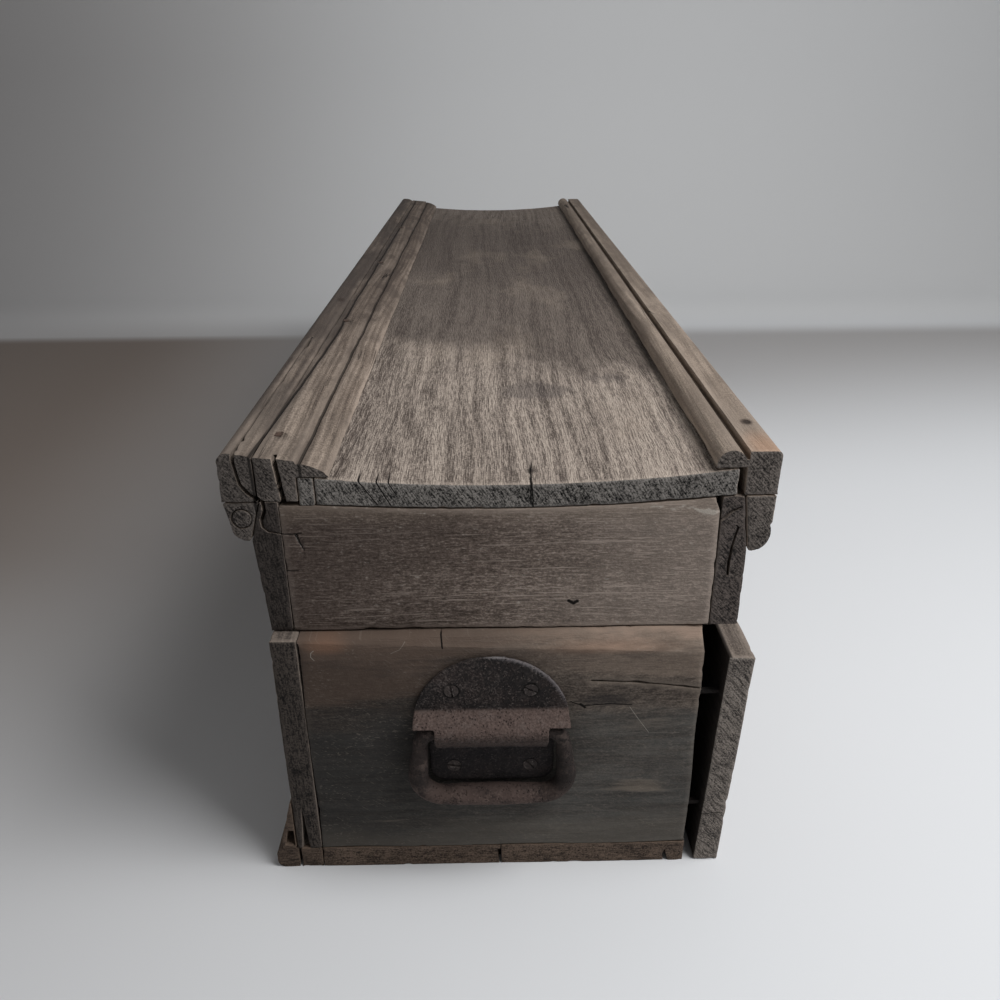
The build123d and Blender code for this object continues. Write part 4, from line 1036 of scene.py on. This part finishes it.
plateIron = rustedIron(
    "plateIron", dark=tone(33, 30, 30), rust=tone(54, 46, 44), pale=tone(116, 107, 103), rustShare=0.4,
    paint=paintPlate, seed=31.0)
backIron = rustedIron(
    "backIron", dark=tone(32, 29, 30), rust=tone(50, 44, 43), pale=tone(84, 78, 76), rustShare=0.35,
    seed=33.0)
bailIron = rustedIron(
    "bailIron", dark=tone(48, 40, 38), rust=tone(84, 70, 65), pale=tone(124, 108, 100), rustShare=0.65,
    paint=paintBail, seed=37.0)
screwIron = rustedIron(
    "screwIron", dark=tone(54, 49, 48), rust=tone(76, 68, 65), pale=tone(128, 121, 117), rustShare=0.4,
    seed=43.0)
# a darker copy of the small iron: painted shade for the nails in the sprung gap
gapIron = rustedIron(
    "gapIron", dark=tone(24, 21, 20), rust=tone(38, 32, 30), pale=tone(58, 53, 51), seed=47.0)
smallIron = rustedIron(
    "smallIron", dark=tone(50, 43, 40), rust=tone(84, 67, 58), pale=tone(124, 112, 102),
    rustShare=0.55, seed=41.0)
for end, skin in handleLook["skins"].items():
    title = end.title()
    pittedIron("handlePlate" + title, "handle_front_plate_" + end, plateIron, skin, 3.0)
    pittedIron("backPlate" + title, "handle_back_plate_" + end, backIron, skin, 7.0)
    pittedIron("bail" + title, "bail_" + end, bailIron, skin, 11.0)

# every CAD node still in sight is small iron: screws, nails, hinges and the hook
for name, node in frame["nodes"].items():
    if not node.hide_render:
        finish = screwIron if "screws" in name else gapIron if "sprung" in name else smallIron
        node.data.materials.clear()
        node.data.materials.append(finish)
print("iron done")


# Stage: floor, light and camera

stage = {
    "floorTone": tone(222, 224, 227),
    "wallTone": tone(208, 209, 210),
    "upperWallTone": tone(232, 233, 234),
    "shadeTone": tone(120, 110, 103),
    # the floor is one sheet that sweeps up into the wall, in metres
    "floorReach": 9.0,
    "sweepStart": 1.05,
    "sweepRadius": 0.5,
    "sweepSteps": 24,
    "wallRise": 0.7,
    # where the tones change, from and to, across (x) and away (y)
    "leftShade": (0.35, -0.65),
    "leftShadeAway": (-0.75, -0.1),
    "farShadeAway": (-0.1, 0.6),
    "floorEndAway": (0.82, 0.71),
    "wallStartAway": (0.72, 0.95),
    "wallAcross": (-1.4, 0.1),
    # the world: dim and bright side, a soft patch on the left, and the backdrop that is seen
    "worldLight": (0.095, 0.24),
    "sideLight": 2.6,
    "sideAim": (-0.94, 0.34, 0.0),
    "sideSize": (0.8, 0.97),
    "shownLight": 0.6,
    "keyPlace": Vector((0.85, -0.80, 1.40)),
    "keyAim": Vector((0.0, -0.2, 0.15)),
    "keyPower": 26.0,
    "keySize": 0.9,
    "cameraPlace": Vector((-0.0051, -0.9594, 0.4460)),
    "cameraPitch": math.radians(25.335),
    "cameraYaw": math.radians(0.637),
    "cameraRoll": math.radians(-0.499),
    "lens": 31.604,
    "sensor": 36,
}


def floorFinish():
    f = Finish(bpy.data.materials.new("paleFloor"))
    place = f.place()
    x, y = f.part(place, 0), f.part(place, 1)
    soft = f.cloud(place, (1.5, 1.5, 1.5), 3.0, 0.5, 3.0)
    colour = f.mix(soft * 0.3, stage["floorTone"], stage["wallTone"])
    # painted shade: the floor darkens to the left and behind the chest, and the wall only a little on
    # the left
    left = f.fade(x + soft * 0.1, *stage["leftShade"])
    left = left * (0.25 + f.fade(y, *stage["leftShadeAway"]) * 0.75)
    far = f.fade(y - x * 0.2, *stage["farShadeAway"]) * 0.55
    shade = f.maths("MAXIMUM", left, far) * f.fade(y, *stage["floorEndAway"])
    colour = f.mix(f.maths("MAXIMUM", shade, left * 0.5), colour, stage["shadeTone"])
    # painted light: the wall is paler towards the right
    wall = f.fade(y, *stage["wallStartAway"]) * f.fade(x, *stage["wallAcross"])
    colour = f.mix(wall, colour, stage["upperWallTone"])
    return f.done(colour, 0.55 + soft * 0.1, soft, 0.0005, specular=0.2)


def makeFloor():
    reach, start = stage["floorReach"], stage["sweepStart"]
    bm = bmesh.new()
    bmesh.ops.create_grid(bm, x_segments=1, y_segments=1, size=reach)
    bmesh.ops.translate(bm, verts=bm.verts, vec=(0, start - reach, 0))
    back = [edge for edge in bm.edges if all(vert.co.y > start - mm for vert in edge.verts)]
    curve = bmesh.ops.spin(bm, geom=back, cent=(0, start, stage["sweepRadius"]), axis=(1, 0, 0),
                           dvec=(0, 0, 0), angle=math.pi / 2, steps=stage["sweepSteps"])
    top = [part for part in curve["geom_last"] if isinstance(part, bmesh.types.BMEdge)]
    risen = newVerts(bmesh.ops.extrude_edge_only(bm, edges=top))
    bmesh.ops.translate(bm, verts=risen, vec=(0, 0, stage["wallRise"]))
    floor = asObject("paleFloor", bm)
    floor.data.polygons.foreach_set("use_smooth", [True] * len(floor.data.polygons))
    floor.data.materials.append(floorFinish())


def makeWorld():
    # the camera and the gloss see a pale backdrop, and the object is lit by a dimmer one
    f = Finish(bpy.data.worlds.new("softRoom"))
    shown = f.node("ShaderNodeBackground", None,
                   {"Color": stage["wallTone"], "Strength": stage["shownLight"]})
    direction = f.node("ShaderNodeTexCoord", out="Generated")
    dim, bright = stage["worldLight"]
    side = f.fade(f.dot(direction, stage["sideAim"]), *stage["sideSize"])
    strength = dim + (bright - dim) * f.fade(f.part(direction, 0), -0.7, 0.7)
    strength = strength + stage["sideLight"] * side
    light = f.node("ShaderNodeBackground", None, {"Color": (1, 1, 1, 1), "Strength": strength})
    seen = 0.0
    for kind in ("Is Camera Ray", "Is Glossy Ray", "Is Transmission Ray"):
        seen = seen + f.node("ShaderNodeLightPath", out=kind)
    room = f.node("ShaderNodeMixShader", None, {0: seen, 1: light, 2: shown})
    f.node("ShaderNodeOutputWorld", None, {0: room})
    bpy.context.scene.world = f.owner


def areaLight(name, place, aim, power, size):
    data = bpy.data.lights.new(name, "AREA")
    data.energy = power
    data.size = size
    lamp = placed(name, data)
    lamp.location = place
    lamp.rotation_euler = (aim - place).to_track_quat("-Z", "Y").to_euler()


def makeCamera():
    # a camera looks down until it is tilted up, turned right and rolled
    tilt = Matrix.Rotation(math.pi / 2 - stage["cameraPitch"], 4, "X")
    turn = Matrix.Rotation(-stage["cameraYaw"], 4, "Z")
    roll = Matrix.Rotation(stage["cameraRoll"], 4, "Z")
    data = bpy.data.cameras.new("photoView")
    data.lens = stage["lens"]
    data.sensor_width = stage["sensor"]
    data.clip_start = 0.01
    camera = placed("photoView", data)
    camera.matrix_world = Matrix.Translation(stage["cameraPlace"]) @ turn @ tilt @ roll
    bpy.context.scene.camera = camera


makeFloor()
makeWorld()
areaLight("windowLight", stage["keyPlace"], stage["keyAim"], stage["keyPower"], stage["keySize"])
makeCamera()
bpy.context.scene.view_settings.view_transform = "Standard"
print("stage done")
